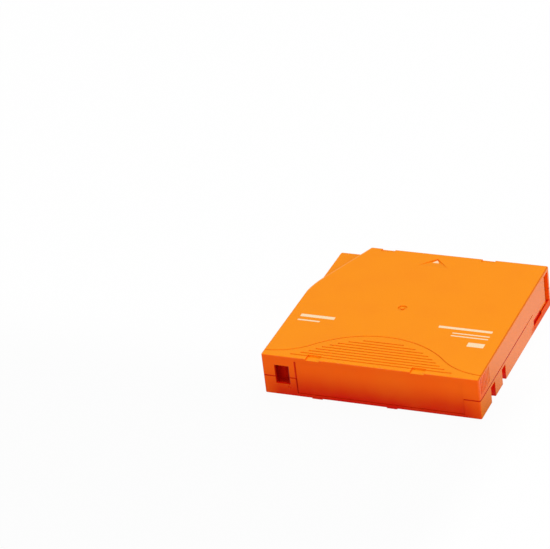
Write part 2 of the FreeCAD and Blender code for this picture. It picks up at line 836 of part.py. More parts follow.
def lower_shell():
    body = case_block("lower_shell", "base_z", "seam_height", "base_z", "base_edge_radius")
    pocket(body, "room", "XY", "floor_top", "seam_height + spare",
           rectangle("-inner_x", "-inner_y", "inner_x", "inner_y"))

    # Posts, ribs and pockets that stand on the floor
    pad(body, "posts", "XY", "floor_top - floor_plate / 2", "seam_height",
        *[circle(x, y, "screw_post_radius") for x, y in SCREW_PLACES])
    pad(body, "spring_ledge", "XY", "floor_top - floor_plate / 2", "lane_low",
        rectangle("lane_in", "lane_back - lane_stop", "lane_out", "door_back - lane_stop / 2"))
    pad(body, "spring_stop", "XY", "lane_low - wall", "lane_high",
        rectangle("lane_in", "lane_back - lane_stop", "lane_out", "lane_back"))
    pad(body, "pin_holder", "XY", "floor_top - floor_plate / 2", "seam_height", polygon(
        ("pin_spring_x - pin_holder_wall", "pin_y - pin_hook_y - pin_holder_wall"),
        ("pin_spring_x + pin_holder_hook", "pin_y - pin_hook_y - pin_holder_wall"),
        ("pin_spring_x + pin_holder_hook", "pin_y - pin_hook_y"),
        ("pin_spring_x", "pin_y - pin_hook_y"),
        ("pin_spring_x", "pin_y + pin_hook_y"),
        ("pin_spring_x + pin_holder_hook", "pin_y + pin_hook_y"),
        ("pin_spring_x + pin_holder_hook", "pin_y + pin_hook_y + pin_holder_wall"),
        ("pin_spring_x - pin_holder_wall", "pin_y + pin_hook_y + pin_holder_wall")))
    pad(body, "slide_rail", "XY", "floor_top - floor_plate / 2", "floor_top + rail_height",
        rectangle("rail_left", "rail_front", "rail_right", "rail_back"))
    for name, left in (("cradle_left", "memory_left + cradle_inset"),
                       ("cradle_right", "memory_right - cradle_inset - cradle_thickness")):
        pad(body, name, "YZ", left, f"{left} + cradle_thickness", polygon(
            ("cradle_y", "floor_top - floor_plate / 2"),
            ("cradle_end", "floor_top - floor_plate / 2"),
            ("cradle_end", "floor_top"),
            ("cradle_y", "cradle_high")))
    pad(body, "slot_boss", "XY", "floor_top - floor_plate / 2", "boss_top",
        rectangle("slot_x - locating_slot_length / 2 - boss_radius", "slot_y - boss_radius",
                  "slot_x + locating_slot_length / 2 + boss_radius", "slot_y + boss_radius"))
    pads = [
        rectangle(f"{middle} - pad_width / 2", low, f"{middle} + pad_width / 2", f"{low} + pad_length")
        for middle in ("-pad_left", "pad_right")
        for low in ("-half_depth + pad_inset", "half_depth - pad_inset - pad_length")]
    pad(body, "pads", "XY", "0", "base_z + floor_plate / 2", *pads)

    # Room for the walls round the notches, cut out of whatever stands near them
    pocket(body, "pocket_room", "XY", "floor_top", "notch_high + notch_wall",
           *[notch_block(low, high) for low, high in NOTCHES])

    # Openings in the floor
    pocket(body, "reel_hole", "XY", "-spare", "floor_top + spare / 10",
           circle("reel_x", "reel_y", "floor_hole_radius"))
    pocket(body, "screw_holes", "XY", "-spare", "seam_height + spare",
           *[circle(x, y, "screw_hole") for x, y in SCREW_PLACES])
    pocket(body, "head_holes", "XY", "-spare", "screw_seat",
           *[circle(x, y, "screw_head_radius + screw_head_gap") for x, y in SCREW_PLACES])
    pocket(body, "bush_hole", "XY", "-spare", "floor_top + spare / 10",
           circle("locating_x", "locating_y", "boss_radius + bush_gap"))
    pocket(body, "locating_slot", "XY", "-spare", "locating_top",
           polygon(
               ("slot_x + locating_slot_length / 2", "slot_y - locating_radius"),
               ("slot_x + locating_slot_length / 2 + locating_radius", "slot_y", "locating_radius"),
               ("slot_x + locating_slot_length / 2", "slot_y + locating_radius", "locating_radius"),
               ("slot_x - locating_slot_length / 2", "slot_y + locating_radius"),
               ("slot_x - locating_slot_length / 2 - locating_radius", "slot_y", "locating_radius"),
               ("slot_x - locating_slot_length / 2", "slot_y - locating_radius", "locating_radius")))
    pocket(body, "sense_hole", "XY", "-spare", "floor_top + spare / 10",
           circle("(window_left + window_right) / 2", "-inner_y + sense_hole_inset", "sense_hole_radius"))

    # Openings in the sides
    pocket(body, "notches", "XY", "-spare", "notch_high",
           *[rectangle("notch_floor", low, "half_width + spare", high) for low, high in NOTCHES])
    pocket(body, "panel_cut", "XZ", "-half_depth - spare", "-inner_y", rectangle(
        "label_left - panel_gap", "label_low - panel_gap", "label_right + panel_gap", "seam_height + spare"))
    pocket(body, "window", "XZ", "-half_depth - spare", "-inner_y + spare / 10",
           rectangle("window_left", "window_low", "window_right", "window_high"))
    pocket(body, "catch_mark", "XZ", "-half_depth - spare", "-half_depth + catch_depth",
           rectangle("catch_left", "catch_low", "catch_left + catch_width", "catch_low + catch_height"))
    pocket(body, "exit_low", "XY", "sill_top", "seam_height + spare",
           rectangle("inner_x", "exit_back", "half_width + spare", "sill_turn"))
    pocket(body, "exit_high", "XY", "sill_high", "seam_height + spare",
           rectangle("inner_x", "sill_turn", "half_width + spare", "exit_front"))
    pocket(body, "door_track", "XY", "floor_top", "seam_height + spare",
           rectangle("inner_x - spare", "bay_back", "bay_out", "door_front + spare"))
    return body


def notch_block(low, high):
    """Outline of a notch with the walls that close it inside the case."""
    return rectangle("notch_floor - notch_wall", f"{low} - notch_wall", "inner_x", f"{high} + notch_wall")


def notch_pocket(index, low, high):
    """A box that stands on the floor and closes a notch inside the case."""
    body = new_body(f"notch_pocket_{index}")
    pad(body, "box", "XY", "floor_top", "notch_high + notch_wall", notch_block(low, high))
    pocket(body, "hollow", "XY", "floor_top - spare", "notch_high",
           rectangle("notch_floor", low, "inner_x + spare", high))
    return body


def notch_pockets():
    group = doc.addObject("Part::Compound", "notch_pockets")
    group.Label = "notch_pockets"
    group.Links = [notch_pocket(index, low, high) for index, (low, high) in enumerate(NOTCHES, start=1)]
    return group


def locating_bush():
    """The round locating hole: a bush that stands in the floor, with a collar that rests on it."""
    body = new_body("locating_bush")
    revolve(body, "turned", polygon(
        ("locating_radius", "base_z"),
        ("boss_radius", "base_z"),
        ("boss_radius", "floor_top"),
        ("boss_radius + bush_collar", "floor_top"),
        ("boss_radius + bush_collar", "floor_top + bush_collar_height"),
        ("boss_radius", "floor_top + bush_collar_height"),
        ("boss_radius", "boss_top"),
        ("0", "boss_top"),
        ("0", "locating_top"),
        ("locating_radius", "locating_top")))
    place_at(body, "locating_x", "locating_y")
    return body


def sliding_door():
    """A leaf that runs in the track, with a raised panel that fills the exit."""
    body = new_body("sliding_door")
    pad(body, "leaf", "XY", "floor_top + door_gap", "ceiling - door_gap",
        rectangle("door_in", "door_back", "leaf_out", "door_front"))
    panel = pad(body, "panel", "YZ", "leaf_out", "door_out", polygon(
        ("door_back", "door_low"),
        ("sill_turn", "door_low"),
        ("sill_turn", "door_step"),
        ("door_front", "door_step"),
        ("door_front", "ceiling - door_gap"),
        ("door_back", "ceiling - door_gap")))
    dress(body, "Fillet", "front_edge", "door_edge_radius", panel,
          lambda edge: upright(edge) and near(edge.BoundBox.YMin, number("door_front"))
          and near(edge.BoundBox.XMin, number("door_out")))
    pad(body, "arm", "XY", "lane_low + lane_gap", "lane_high - lane_gap", rectangle(
        "lane_in + lane_gap", "door_back", "door_in + door_thickness / 2", "door_back + door_arm_length"))
    return body


def coil(name, radius, wire, height, turns):
    """A coil spring about Z, drawn along its helix one turn at a time."""
    helix = doc.addObject("Part::Helix", name + "_helix")
    helix.setExpression("Radius", bound(radius))
    helix.setExpression("Height", bound(height))
    helix.setExpression("Pitch", bound(f"({height}) / {turns}"))
    helix.SegmentLength = 1
    section = doc.addObject("Part::Circle", name + "_section")
    section.setExpression("Radius", bound(f"{wire} / 2"))
    section.Placement = FreeCAD.Placement(Vector(0, 0, 0), FreeCAD.Rotation(Vector(1, 0, 0), 90))
    section.setExpression("Placement.Base.x", bound(radius))
    spring = doc.addObject("Part::Sweep", name)
    spring.Sections = [section]
    spring.Spine = (helix, [f"Edge{turn}" for turn in range(1, turns + 1)])
    spring.Solid = True
    spring.Frenet = True
    spring.Label = name
    return spring


def door_spring():
    spring = coil("door_spring", "door_spring_radius", "door_spring_wire",
                  "door_spring_length - door_spring_wire - 2 * spring_seat_gap", DOOR_SPRING_TURNS)
    spring.Placement = FreeCAD.Placement(Vector(0, 0, 0), FreeCAD.Rotation(Vector(1, 0, 0), -90))
    spring.setExpression("Placement.Base.x", bound("lane_x"))
    spring.setExpression("Placement.Base.y", bound("lane_back + door_spring_wire / 2 + spring_seat_gap"))
    spring.setExpression("Placement.Base.z", bound("middle_z"))
    return spring


def brake_spring():
    spring = coil("brake_spring", "brake_spring_radius", "brake_spring_wire",
                  "ceiling - brake_top - brake_spring_wire - 2 * spring_seat_gap", BRAKE_SPRING_TURNS)
    place_at(spring, "reel_x", "reel_y")
    spring.setExpression("Placement.Base.z", bound("brake_top + brake_spring_wire / 2 + spring_seat_gap"))
    return spring


def leader_pin():
    body = new_body("leader_pin")
    revolve(body, "turned", polygon(
        ("0", "pin_low"),
        ("pin_head_radius", "pin_low"),
        ("pin_head_radius", "pin_neck_low"),
        ("pin_neck_radius", "pin_neck_low"),
        ("pin_neck_radius", "pin_tape_low - pin_collar_height"),
        ("pin_collar_radius", "pin_tape_low - pin_collar_height"),
        ("pin_collar_radius", "pin_tape_low"),
        ("pin_core_radius", "pin_tape_low"),
        ("pin_core_radius", "pin_tape_high"),
        ("pin_collar_radius", "pin_tape_high"),
        ("pin_collar_radius", "pin_tape_high + pin_collar_height"),
        ("pin_neck_radius", "pin_tape_high + pin_collar_height"),
        ("pin_neck_radius", "pin_neck_high"),
        ("pin_head_radius", "pin_neck_high"),
        ("pin_head_radius", "pin_high"),
        ("0", "pin_high")))
    place_at(body, "pin_x", "pin_y")
    return body


def leader_pin_clip():
    """A split sleeve whose slot lets the tape in."""
    body = new_body("leader_pin_clip")
    pad(body, "sleeve", "XY", "tape_low + clip_end_gap", "tape_high - clip_end_gap",
        circle("0", "0", "clip_out"), circle("0", "0", "clip_in"))
    pocket(body, "slot", "XY", "tape_low", "tape_high",
           rectangle("-clip_slot / 2", "-clip_out - spare", "clip_slot / 2", "0"))
    place_at(body, "pin_x", "pin_y", "run_angle")
    return body


def leader_pin_spring():
    body = new_body("leader_pin_spring")
    inner = "pin_spring_half"
    outer = "(pin_spring_half + pin_spring_sheet)"
    tip = "(pin_spring_end + pin_spring_sheet)"
    lip = "(pin_spring_half - pin_spring_lip)"
    pad(body, "strip", "XY", "floor_top", "ceiling", polygon(
        ("pin_spring_x", f"pin_y - {outer}"),
        (tip, f"pin_y - {outer}"),
        (tip, f"pin_y - {lip}"),
        ("pin_spring_end", f"pin_y - {lip}"),
        ("pin_spring_end", f"pin_y - {inner}"),
        ("pin_spring_x + pin_spring_sheet", f"pin_y - {inner}"),
        ("pin_spring_x + pin_spring_sheet", f"pin_y + {inner}"),
        ("pin_spring_end", f"pin_y + {inner}"),
        ("pin_spring_end", f"pin_y + {lip}"),
        (tip, f"pin_y + {lip}"),
        (tip, f"pin_y + {outer}"),
        ("pin_spring_x", f"pin_y + {outer}")))
    pocket(body, "gap", "XY", "pin_neck_low", "pin_neck_high", rectangle(
        "pin_spring_x + pin_spring_sheet", f"pin_y - {outer} - spare",
        f"{tip} + spare", f"pin_y + {outer} + spare"))
    return body


def tape_leader():
    """The free run of tape, straight from the wound tape to the pin."""
    def place(across, along):
        return (f"reel_x + ({across}) * run_cos - ({along}) * run_sin",
                f"reel_y + ({across}) * run_sin + ({along}) * run_cos")
    body = new_body("tape_leader")
    near_side = "run_offset - tape_film / 2"
    far_side = "run_offset + tape_film / 2"
    pad(body, "film", "XY", "tape_low", "tape_high", polygon(
        place(near_side, "0"), place(far_side, "0"),
        place(far_side, "run_length"), place(near_side, "run_length")))
    return body


def tape_pack():
    body = new_body("tape_pack")
    pad(body, "turns", "XY", "tape_low", "tape_high",
        circle("0", "0", "pack_radius"), circle("0", "0", "hub_radius + wound_gap"))
    place_at(body, "reel_x", "reel_y")
    return body


def tooth(base, tip, root, height):
    """A tooth seen along a radius: half its width each side of Y, from its root to its tip."""
    return polygon((f"-{base} / 2", root), (f"{base} / 2", root),
                   (f"{tip} / 2", height), (f"-{tip} / 2", height))


def reel_hub():
    body = new_body("reel_hub")
    revolve(body, "turned", polygon(
        ("0", "web_low"),
        ("gear_radius", "web_low"),
        ("gear_radius", "gear_root"),
        ("gear_out", "gear_root"),
        ("gear_out", "web_low"),
        ("rim_in", "web_low"),
        ("rim_in", "rim_low"),
        ("rim_in + hub_rim_width", "rim_low"),
        ("rim_in + hub_rim_width", "flange_low"),
        ("flange_radius", "flange_low"),
        ("flange_radius", "flange_high"),
        ("hub_radius", "flange_high"),
        ("hub_radius", "top_flange_low"),
        ("hub_bore", "top_flange_low"),
        ("hub_bore", "web_top"),
        ("ring_out", "web_top"),
        ("ring_out", "ring_top"),
        ("brake_ring_radius", "ring_top"),
        ("brake_ring_radius", "web_top"),
        ("0", "web_top")))
    drive = pad(body, "drive_tooth", "YZ", "gear_radius + gear_tooth_inset", "gear_out - gear_tooth_inset",
                tooth("gear_tooth_base", "gear_tooth_tip", "gear_root", "gear_tip"))
    ring_pattern(body, drive, GEAR_TEETH)
    brake = pad(body, "brake_tooth", "YZ", "brake_ring_radius + brake_tooth_gap", "ring_out - brake_tooth_gap",
                tooth("brake_tooth_base", "brake_tooth_tip", "ring_top", "ring_tip"))
    ring_pattern(body, brake, BRAKE_TEETH)
    slot = pocket(body, "arm_slot", "XY", "web_top", "ring_tip + spare",
                  rectangle("brake_ring_radius - spare", "-arm_slot", "ring_out + spare", "arm_slot"))
    ring_pattern(body, slot, RELEASE_LEGS)
    hole = pocket(body, "leg_hole", "XY", "gear_tip - spare", "web_top + spare",
                  circle("release_leg_circle", "0", "leg_hole"))
    ring_pattern(body, hole, RELEASE_LEGS)
    place_at(body, "reel_x", "reel_y", REEL_TURN)
    return body


def reel_upper_flange():
    body = new_body("reel_upper_flange")
    collar_out = "hub_bore - collar_gap"
    collar_in = "hub_bore - collar_gap - collar_thickness"
    revolve(body, "turned", polygon(
        (collar_in, "top_flange_low - collar_depth"),
        (collar_out, "top_flange_low - collar_depth"),
        (collar_out, "top_flange_low"),
        ("flange_radius", "top_flange_low"),
        ("flange_radius", "top_flange_high"),
        (collar_in, "top_flange_high")))
    place_at(body, "reel_x", "reel_y")
    return body


def drive_plate():
    body = new_body("drive_plate")
    pad(body, "washer", "XY", "web_low - plate_thickness", "web_low",
        circle("0", "0", "plate_radius"), circle("0", "0", "plate_hole"))
    place_at(body, "reel_x", "reel_y")
    return body


def brake_button():
    """The brake: teeth below, and a socket above that slides on the shell's key."""
    body = new_body("brake_button")
    revolve(body, "turned", polygon(
        ("0", "release_top + release_lift_gap"),
        ("brake_boss_radius", "release_top + release_lift_gap"),
        ("brake_boss_radius", "brake_low"),
        ("ring_out + brake_disc_margin", "brake_low"),
        ("ring_out + brake_disc_margin", "brake_top"),
        ("brake_socket_radius", "brake_top"),
        ("brake_socket_radius", "socket_top"),
        ("0", "socket_top")))
    teeth = pad(body, "brake_tooth", "YZ", "brake_ring_radius + brake_tooth_gap", "ring_out - brake_tooth_gap",
                tooth("brake_tooth_base", "brake_tooth_tip", "brake_low", "brake_tip"))
    ring_pattern(body, teeth, BRAKE_TEETH)
    for name, across, along in KEY_BARS:
        pocket(body, name, "XY", "socket_floor", "socket_top + spare", rectangle(
            f"-{across} / 2 - key_gap", f"-{along} / 2 - key_gap",
            f"{across} / 2 + key_gap", f"{along} / 2 + key_gap"))
    place_at(body, "reel_x", "reel_y")
    return body


def brake_release():
    body = new_body("brake_release")
    pad(body, "centre", "XY", "release_low", "release_top", circle("0", "0", "release_centre"))
    arm = pad(body, "arm", "XY", "release_low", "release_top",
              rectangle("0", "-release_arm_width / 2", "release_leg_circle", "release_arm_width / 2"))
    ring_pattern(body, arm, RELEASE_LEGS)
    leg = pad(body, "leg", "XY", "release_foot", "release_top",
              circle("release_leg_circle", "0", "release_leg_radius"))
    ring_pattern(body, leg, RELEASE_LEGS)
    place_at(body, "reel_x", "reel_y", REEL_TURN)
    return body


def write_protect_slide():
    body = new_body("write_protect_slide")
    pad(body, "block", "XY", "tab_low", "tab_high",
        rectangle("tab_left", "tab_front", "tab_right", "tab_back"))
    pad(body, "finger_rib", "XY", "window_low + tab_rib_margin", "window_high - tab_rib_margin", rectangle(
        "tab_left", "tab_front - tab_rib_height", "tab_left + tab_rib_width", "tab_front + tab_gap"))
    return body


def lay_on_cradle(body):
    """Lay a piece that was drawn flat against the sloping ribs, its Y running down the slope."""
    slope = number("memory_angle")
    body.Placement = FreeCAD.Placement(Vector(0, 0, 0), FreeCAD.Rotation(Vector(1, 0, 0), -slope))
    body.setExpression("Placement.Base.x", bound("memory_left"))
    body.setExpression("Placement.Base.y", bound("memory_high_y"))
    body.setExpression("Placement.Base.z", bound("memory_high_z"))


def memory_board():
    body = new_body("memory_board")
    pad(body, "board", "XY", "0", "memory_thickness", rectangle("0", "0", "memory_width", "memory_length"))
    lay_on_cradle(body)
    return body


def memory_antenna():
    body = new_body("memory_antenna")
    inner = "(antenna_margin + antenna_width)"
    pad(body, "loop", "XY", "memory_thickness", "memory_thickness + antenna_thickness",
        rectangle("antenna_margin", "antenna_margin",
                  "memory_width - antenna_margin", "memory_length - antenna_margin"),
        rectangle(inner, inner, f"memory_width - {inner}", f"memory_length - {inner}"))
    lay_on_cradle(body)
    return body


def memory_chip():
    body = new_body("memory_chip")
    pad(body, "potting", "XY", "memory_thickness", "memory_thickness + chip_height", rectangle(
        "memory_width / 2 - chip_size / 2", "memory_length / 2 - chip_size / 2",
        "memory_width / 2 + chip_size / 2", "memory_length / 2 + chip_size / 2"))
    lay_on_cradle(body)
    return body


def case_screw(index, x, y):
    """One screw, head down, with a slot across its head."""
    body = new_body(f"case_screw_{index}")
    revolve(body, "turned", polygon(
        ("0", "screw_head_low"),
        ("screw_head_radius", "screw_head_low"),
        ("screw_head_radius", "screw_seat"),
        ("screw_shank_radius", "screw_seat"),
        ("screw_shank_radius", "screw_end - screw_tip"),
        ("0", "screw_end")))
    pocket(body, "slot", "XY", "screw_head_low - spare", "screw_head_low + screw_slot_depth", rectangle(
        "-screw_head_radius - spare", "-screw_slot_width / 2",
        "screw_head_radius + spare", "screw_slot_width / 2"))
    place_at(body, x, y)
    return body


def case_screws():
    group = doc.addObject("Part::Compound", "case_screws")
    group.Label = "case_screws"
    group.Links = [case_screw(index, x, y) for index, (x, y) in enumerate(SCREW_PLACES, start=1)]
    return group


# Build every piece
pieces = [
    upper_shell(), lower_shell(), notch_pockets(), locating_bush(), case_screws(), sliding_door(), door_spring(),
    leader_pin(), leader_pin_clip(), leader_pin_spring(), tape_leader(), tape_pack(),
    reel_hub(), reel_upper_flange(), drive_plate(), brake_button(), brake_spring(), brake_release(),
    write_protect_slide(), memory_board(), memory_antenna(), memory_chip(),
]
doc.removeObject(trial.Name)
doc.recompute()

# Check, then write
for item in doc.Objects:
    if "Invalid" in item.State or "Error" in item.State:
        raise RuntimeError(f"{item.Name} failed: {item.State}")
for piece in pieces:
    if piece.Shape.isNull() or not piece.Shape.isValid():
        raise RuntimeError(f"{piece.Label} has no valid shape")

os.makedirs("parts", exist_ok=True)
for piece in pieces:
    piece.Shape.exportStep(f"parts/{piece.Label}.step")
    print(piece.Label, len(piece.Shape.Solids), round(piece.Shape.Volume, 2))
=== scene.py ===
# %% [markdown]
# # A tape cleaning cartridge
# A flat orange cartridge, about as wide as a hand, that is pushed into a tape drive to clean its head.
# Two moulded shells are screwed together around one reel of cleaning tape. Every solid part comes ready
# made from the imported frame. This lesson gives the parts their finishes, and models what is finer than
# those solids: the springs' wire and the printed marks.

# %% Load the frame
import json
from math import atan2, cos, pi, radians, sin

import bpy
from mathutils import Matrix, Vector


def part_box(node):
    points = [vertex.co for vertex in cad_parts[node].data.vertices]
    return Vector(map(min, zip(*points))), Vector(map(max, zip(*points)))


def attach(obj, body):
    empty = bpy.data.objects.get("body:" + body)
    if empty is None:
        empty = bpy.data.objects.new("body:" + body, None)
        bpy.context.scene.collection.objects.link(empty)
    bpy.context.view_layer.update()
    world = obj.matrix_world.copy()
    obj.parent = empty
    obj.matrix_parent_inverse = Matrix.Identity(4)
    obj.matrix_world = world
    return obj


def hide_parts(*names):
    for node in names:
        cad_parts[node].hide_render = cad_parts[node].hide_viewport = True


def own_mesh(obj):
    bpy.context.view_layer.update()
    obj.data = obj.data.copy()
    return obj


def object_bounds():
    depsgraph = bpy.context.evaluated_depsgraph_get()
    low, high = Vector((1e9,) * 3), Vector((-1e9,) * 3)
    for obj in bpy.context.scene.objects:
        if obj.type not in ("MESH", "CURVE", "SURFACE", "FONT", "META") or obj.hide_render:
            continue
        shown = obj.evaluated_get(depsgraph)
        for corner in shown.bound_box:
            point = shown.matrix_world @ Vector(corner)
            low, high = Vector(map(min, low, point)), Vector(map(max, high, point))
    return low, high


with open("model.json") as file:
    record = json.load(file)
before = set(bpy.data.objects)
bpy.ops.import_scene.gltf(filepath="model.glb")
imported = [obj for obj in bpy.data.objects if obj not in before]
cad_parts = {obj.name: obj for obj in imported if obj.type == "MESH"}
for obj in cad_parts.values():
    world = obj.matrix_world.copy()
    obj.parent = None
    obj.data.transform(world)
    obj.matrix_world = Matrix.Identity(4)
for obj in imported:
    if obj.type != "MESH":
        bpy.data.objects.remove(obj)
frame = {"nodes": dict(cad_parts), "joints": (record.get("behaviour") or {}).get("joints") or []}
cad_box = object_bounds()
joints = {joint["name"]: joint for joint in frame["joints"]}
MM = 0.001

# %% [markdown]
# ## The camera
# The photograph was taken from the label end, a little to the right and from 30 degrees above, with a
# long lens and a slight tilt of the camera. A camera could be moved by eye until the picture matches.
# Here the angles come from a fit of the cartridge's corners, so the case lands within about two pixels of
# its place in the photograph.

# %% Set the camera
VIEW_AZIMUTH = radians(25.844)
VIEW_ELEVATION = radians(29.942)
VIEW_TILT = radians(-7.213)
VIEW_OFFSET = Vector((-0.06340, 0.03446, 1.38685))
VIEW_FAR = 20
LENS_MM = 194.09

view_turn = Matrix.Rotation(VIEW_AZIMUTH, 3, "Z")
view_turn = view_turn @ Matrix.Rotation(pi / 2 - VIEW_ELEVATION, 3, "X")
view_turn = view_turn @ Matrix.Rotation(VIEW_TILT, 3, "Z")
bpy.ops.object.camera_add(location=view_turn @ VIEW_OFFSET, rotation=view_turn.to_euler())
camera = bpy.context.object
camera.data.lens = LENS_MM
camera.data.clip_end = VIEW_FAR
bpy.context.scene.camera = camera
bpy.context.scene.view_settings.view_transform = "Standard"
print("camera at", camera.location)

# %% [markdown]
# ## Sums of sockets
# A material is a net of nodes. Wired one by one, a formula such as 1 - mask takes many lines. A small
# class that wraps a socket lets Python's own operators add the Math nodes, and one method adds any
# other kind of node. A comparison such as x > 0 gives a mask of 0 and 1.


# %% Wrap a socket
class Socket:
    """An output socket of a node tree. Sums of it with numbers or others add Math nodes."""

    def __init__(self, tree, output=None):
        self.tree = tree
        self.output = output

    def node(self, kind, settings, sockets, output=0):
        """Adds a node of any kind, sets it up, feeds its sockets and gives one of its outputs."""
        made = self.tree.nodes.new(kind)
        for name, setting in settings.items():
            setattr(made, name, setting)
        for name, value in sockets.items():
            feed(self.tree, made.inputs[name], value)
        if not made.outputs:
            return None
        return Socket(self.tree, made.outputs[output])

    def math(self, operation, first, second=0.0):
        return self.node("ShaderNodeMath", {"operation": operation}, {0: first, 1: second})

    def __add__(self, other):
        return self.math("ADD", self, other)

    def __radd__(self, other):
        return self.math("ADD", other, self)

    def __sub__(self, other):
        return self.math("SUBTRACT", self, other)

    def __rsub__(self, other):
        return self.math("SUBTRACT", other, self)

    def __mul__(self, other):
        return self.math("MULTIPLY", self, other)

    def __rmul__(self, other):
        return self.math("MULTIPLY", other, self)

    def __pow__(self, other):
        return self.math("POWER", self, other)

    def __neg__(self):
        return self.math("MULTIPLY", -1, self)

    def __abs__(self):
        return self.math("ABSOLUTE", self)

    def __gt__(self, other):
        return self.math("GREATER_THAN", self, other)

    def __lt__(self, other):
        return self.math("LESS_THAN", self, other)


def feed(tree, socket, value):
    """Links a wrapped socket, or sets a plain value."""
    if isinstance(value, Socket):
        tree.links.new(value.output, socket)
    else:
        socket.default_value = value


print("operators ready")

# %% [markdown]
# ## Helpers for nodes
# Some nodes are needed again and again: the place on a part, its X, Y and Z, a smooth step from 0 to 1, the
# largest of some values and a mix of two colours. Patterns read Object coordinates, which are in metres and
# ride with the part, so a grain of a quarter of a millimetre is written as just that.


# %% Define the node helpers
def object_place(start):
    return start.node("ShaderNodeTexCoord", {}, {}, "Object")


def parts_of(start, vector):
    """The X, Y and Z of a vector, each as a socket."""
    return [start.node("ShaderNodeSeparateXYZ", {}, {"Vector": vector}, axis) for axis in "XYZ"]


def ramp(start, value, low, high):
    """0 below low, 1 above high, and smooth between them."""
    return start.node("ShaderNodeMapRange", {"interpolation_type": "SMOOTHSTEP"}, {
        "Value": value, "From Min": low, "From Max": high, "To Min": 0.0, "To Max": 1.0})


def largest(start, first, *others):
    for other in others:
        first = start.math("MAXIMUM", first, other)
    return first


def blend_colour(start, share, first, second):
    """The first colour where share is 0, the second where it is 1."""
    return start.node("ShaderNodeMix", {"data_type": "RGBA"}, {0: share, 6: first, 7: second}, 2)


print("node helpers ready")

# %% [markdown]
# ## The floor
# The photograph shows the cartridge on plain white, with hardly a shadow. A bright floor could be lit until
# it burns out, but that light would also wash out the plastic. Here the floor glows white for the camera,
# and for all other light it is just pale: bright behind the cartridge and to its right, dim in front of it.

# %% Lay the floor
FLOOR_SIZE = 8
FLOOR_DROP = 0.05 * MM
FLOOR_PALE = (0.85, 0.85, 0.85, 1)
FLOOR_DIM = (0.42, 0.42, 0.42, 1)
WHITE = (1, 1, 1, 1)
FLOOR_GLOW = 0.96
GLOSS_DIM = 0.03
GLOSS_BRIGHT = 0.72
BRIGHT_ALONG = (-60 * MM, 10 * MM)
BRIGHT_ASIDE = (50 * MM, 80 * MM)

bpy.ops.object.select_all(action="DESELECT")
bpy.ops.mesh.primitive_plane_add(size=FLOOR_SIZE, location=(0, 0, -FLOOR_DROP))
floor = bpy.context.object
floor.name = "floor"
floor_paint = bpy.data.materials.new("floor_paint")
floor_paint.use_nodes = True
floor_paint.node_tree.nodes.clear()
start = Socket(floor_paint.node_tree)
camera_ray = start.node("ShaderNodeLightPath", {}, {}, "Is Camera Ray")
glossy_ray = start.node("ShaderNodeLightPath", {}, {}, "Is Glossy Ray")
clear_ray = start.node("ShaderNodeLightPath", {}, {}, "Is Transmission Ray")
aside, along = parts_of(start, object_place(start))[:2]
bright = largest(start, ramp(start, along, *BRIGHT_ALONG), ramp(start, aside, *BRIGHT_ASIDE))
mirrored = GLOSS_DIM + bright * (GLOSS_BRIGHT - GLOSS_DIM)
seen = (camera_ray + clear_ray) * FLOOR_GLOW + glossy_ray
glow = start.node("ShaderNodeEmission", {}, {"Color": WHITE, "Strength": 1 - glossy_ray * (1 - mirrored)})
pale = blend_colour(start, bright, FLOOR_DIM, FLOOR_PALE)
dull = start.node("ShaderNodeBsdfDiffuse", {}, {"Color": pale})
mixed = start.node("ShaderNodeMixShader", {}, {0: seen, 1: dull, 2: glow})
start.node("ShaderNodeOutputMaterial", {}, {"Surface": mixed})
floor.data.materials.append(floor_paint)
print("floor", FLOOR_SIZE, "m wide")

# %% [markdown]
# ## The light
# The top is brightest, the label end gets soft light from the front left, and the right side some from
# the right. Three large area lamps do that, and a pale sky fills the shadows. Reflections see a dimmer sky
# and no lamps, because the photograph's top face shows the plastic's full colour and hardly any haze.

# %% Hang the lamps
LAMP_TARGET = Vector((0, 0, 0.01))
LAMP_WIDTH = 0.9
SKY_LEVEL = 0.58
SKY_MIRRORED = 0.10
# Each lamp's place in metres and its power in watts
LAMPS = {
    "lamp_behind": ((0.24, 0.80, 1.36), 10.4),
    "lamp_front": ((-0.30, -1.40, 0.62), 9.4),
    "lamp_right": ((1.30, -0.25, 0.56), 4.8),
}

for name, (spot, power) in LAMPS.items():
    aim = LAMP_TARGET - Vector(spot)
    bpy.ops.object.light_add(type="AREA", location=spot, rotation=aim.to_track_quat("-Z", "Y").to_euler())
    lamp = bpy.context.object
    lamp.name = name
    lamp.data.energy = power
    lamp.data.size = LAMP_WIDTH
    lamp.visible_glossy = False

sky = bpy.data.worlds.new("sky")
sky.use_nodes = True
sky_shader = sky.node_tree.nodes["Background"]
sky_shader.inputs["Color"].default_value = WHITE
start = Socket(sky.node_tree)
glossy_ray = start.node("ShaderNodeLightPath", {}, {}, "Is Glossy Ray")
feed(sky.node_tree, sky_shader.inputs["Strength"], SKY_LEVEL - glossy_ray * (SKY_LEVEL - SKY_MIRRORED))
bpy.context.scene.world = sky
print("lamps", len(LAMPS))

# %% [markdown]
# ## Helpers for finishes
# Every finish starts from one Principled shader. What is the same all over is set on its own sockets,
# and what changes over the surface is linked. A noise gives the changes, and a bump turns it into grain.


# %% Define the finish helpers
def new_finish(name, settings):
    """A material with one Principled shader, whose constant sockets are set here."""
    material = bpy.data.materials.new(name)
    material.use_nodes = True
    shader = material.node_tree.nodes["Principled BSDF"]
    for socket, value in settings.items():
        shader.inputs[socket].default_value = value
    return material, Socket(material.node_tree), shader


def connect(shader, links):
    for socket, value in links.items():
        feed(shader.id_data, shader.inputs[socket], value)


def noise(start, place, size, detail=2.0):
    """Cloudy values about 0.5, with patches about as wide as size."""
    return start.node("ShaderNodeTexNoise", {}, {"Vector": place, "Scale": 1 / size, "Detail": detail})


def bump(start, height, depth, strength):
    return start.node("ShaderNodeBump", {}, {"Height": height, "Distance": depth, "Strength": strength})


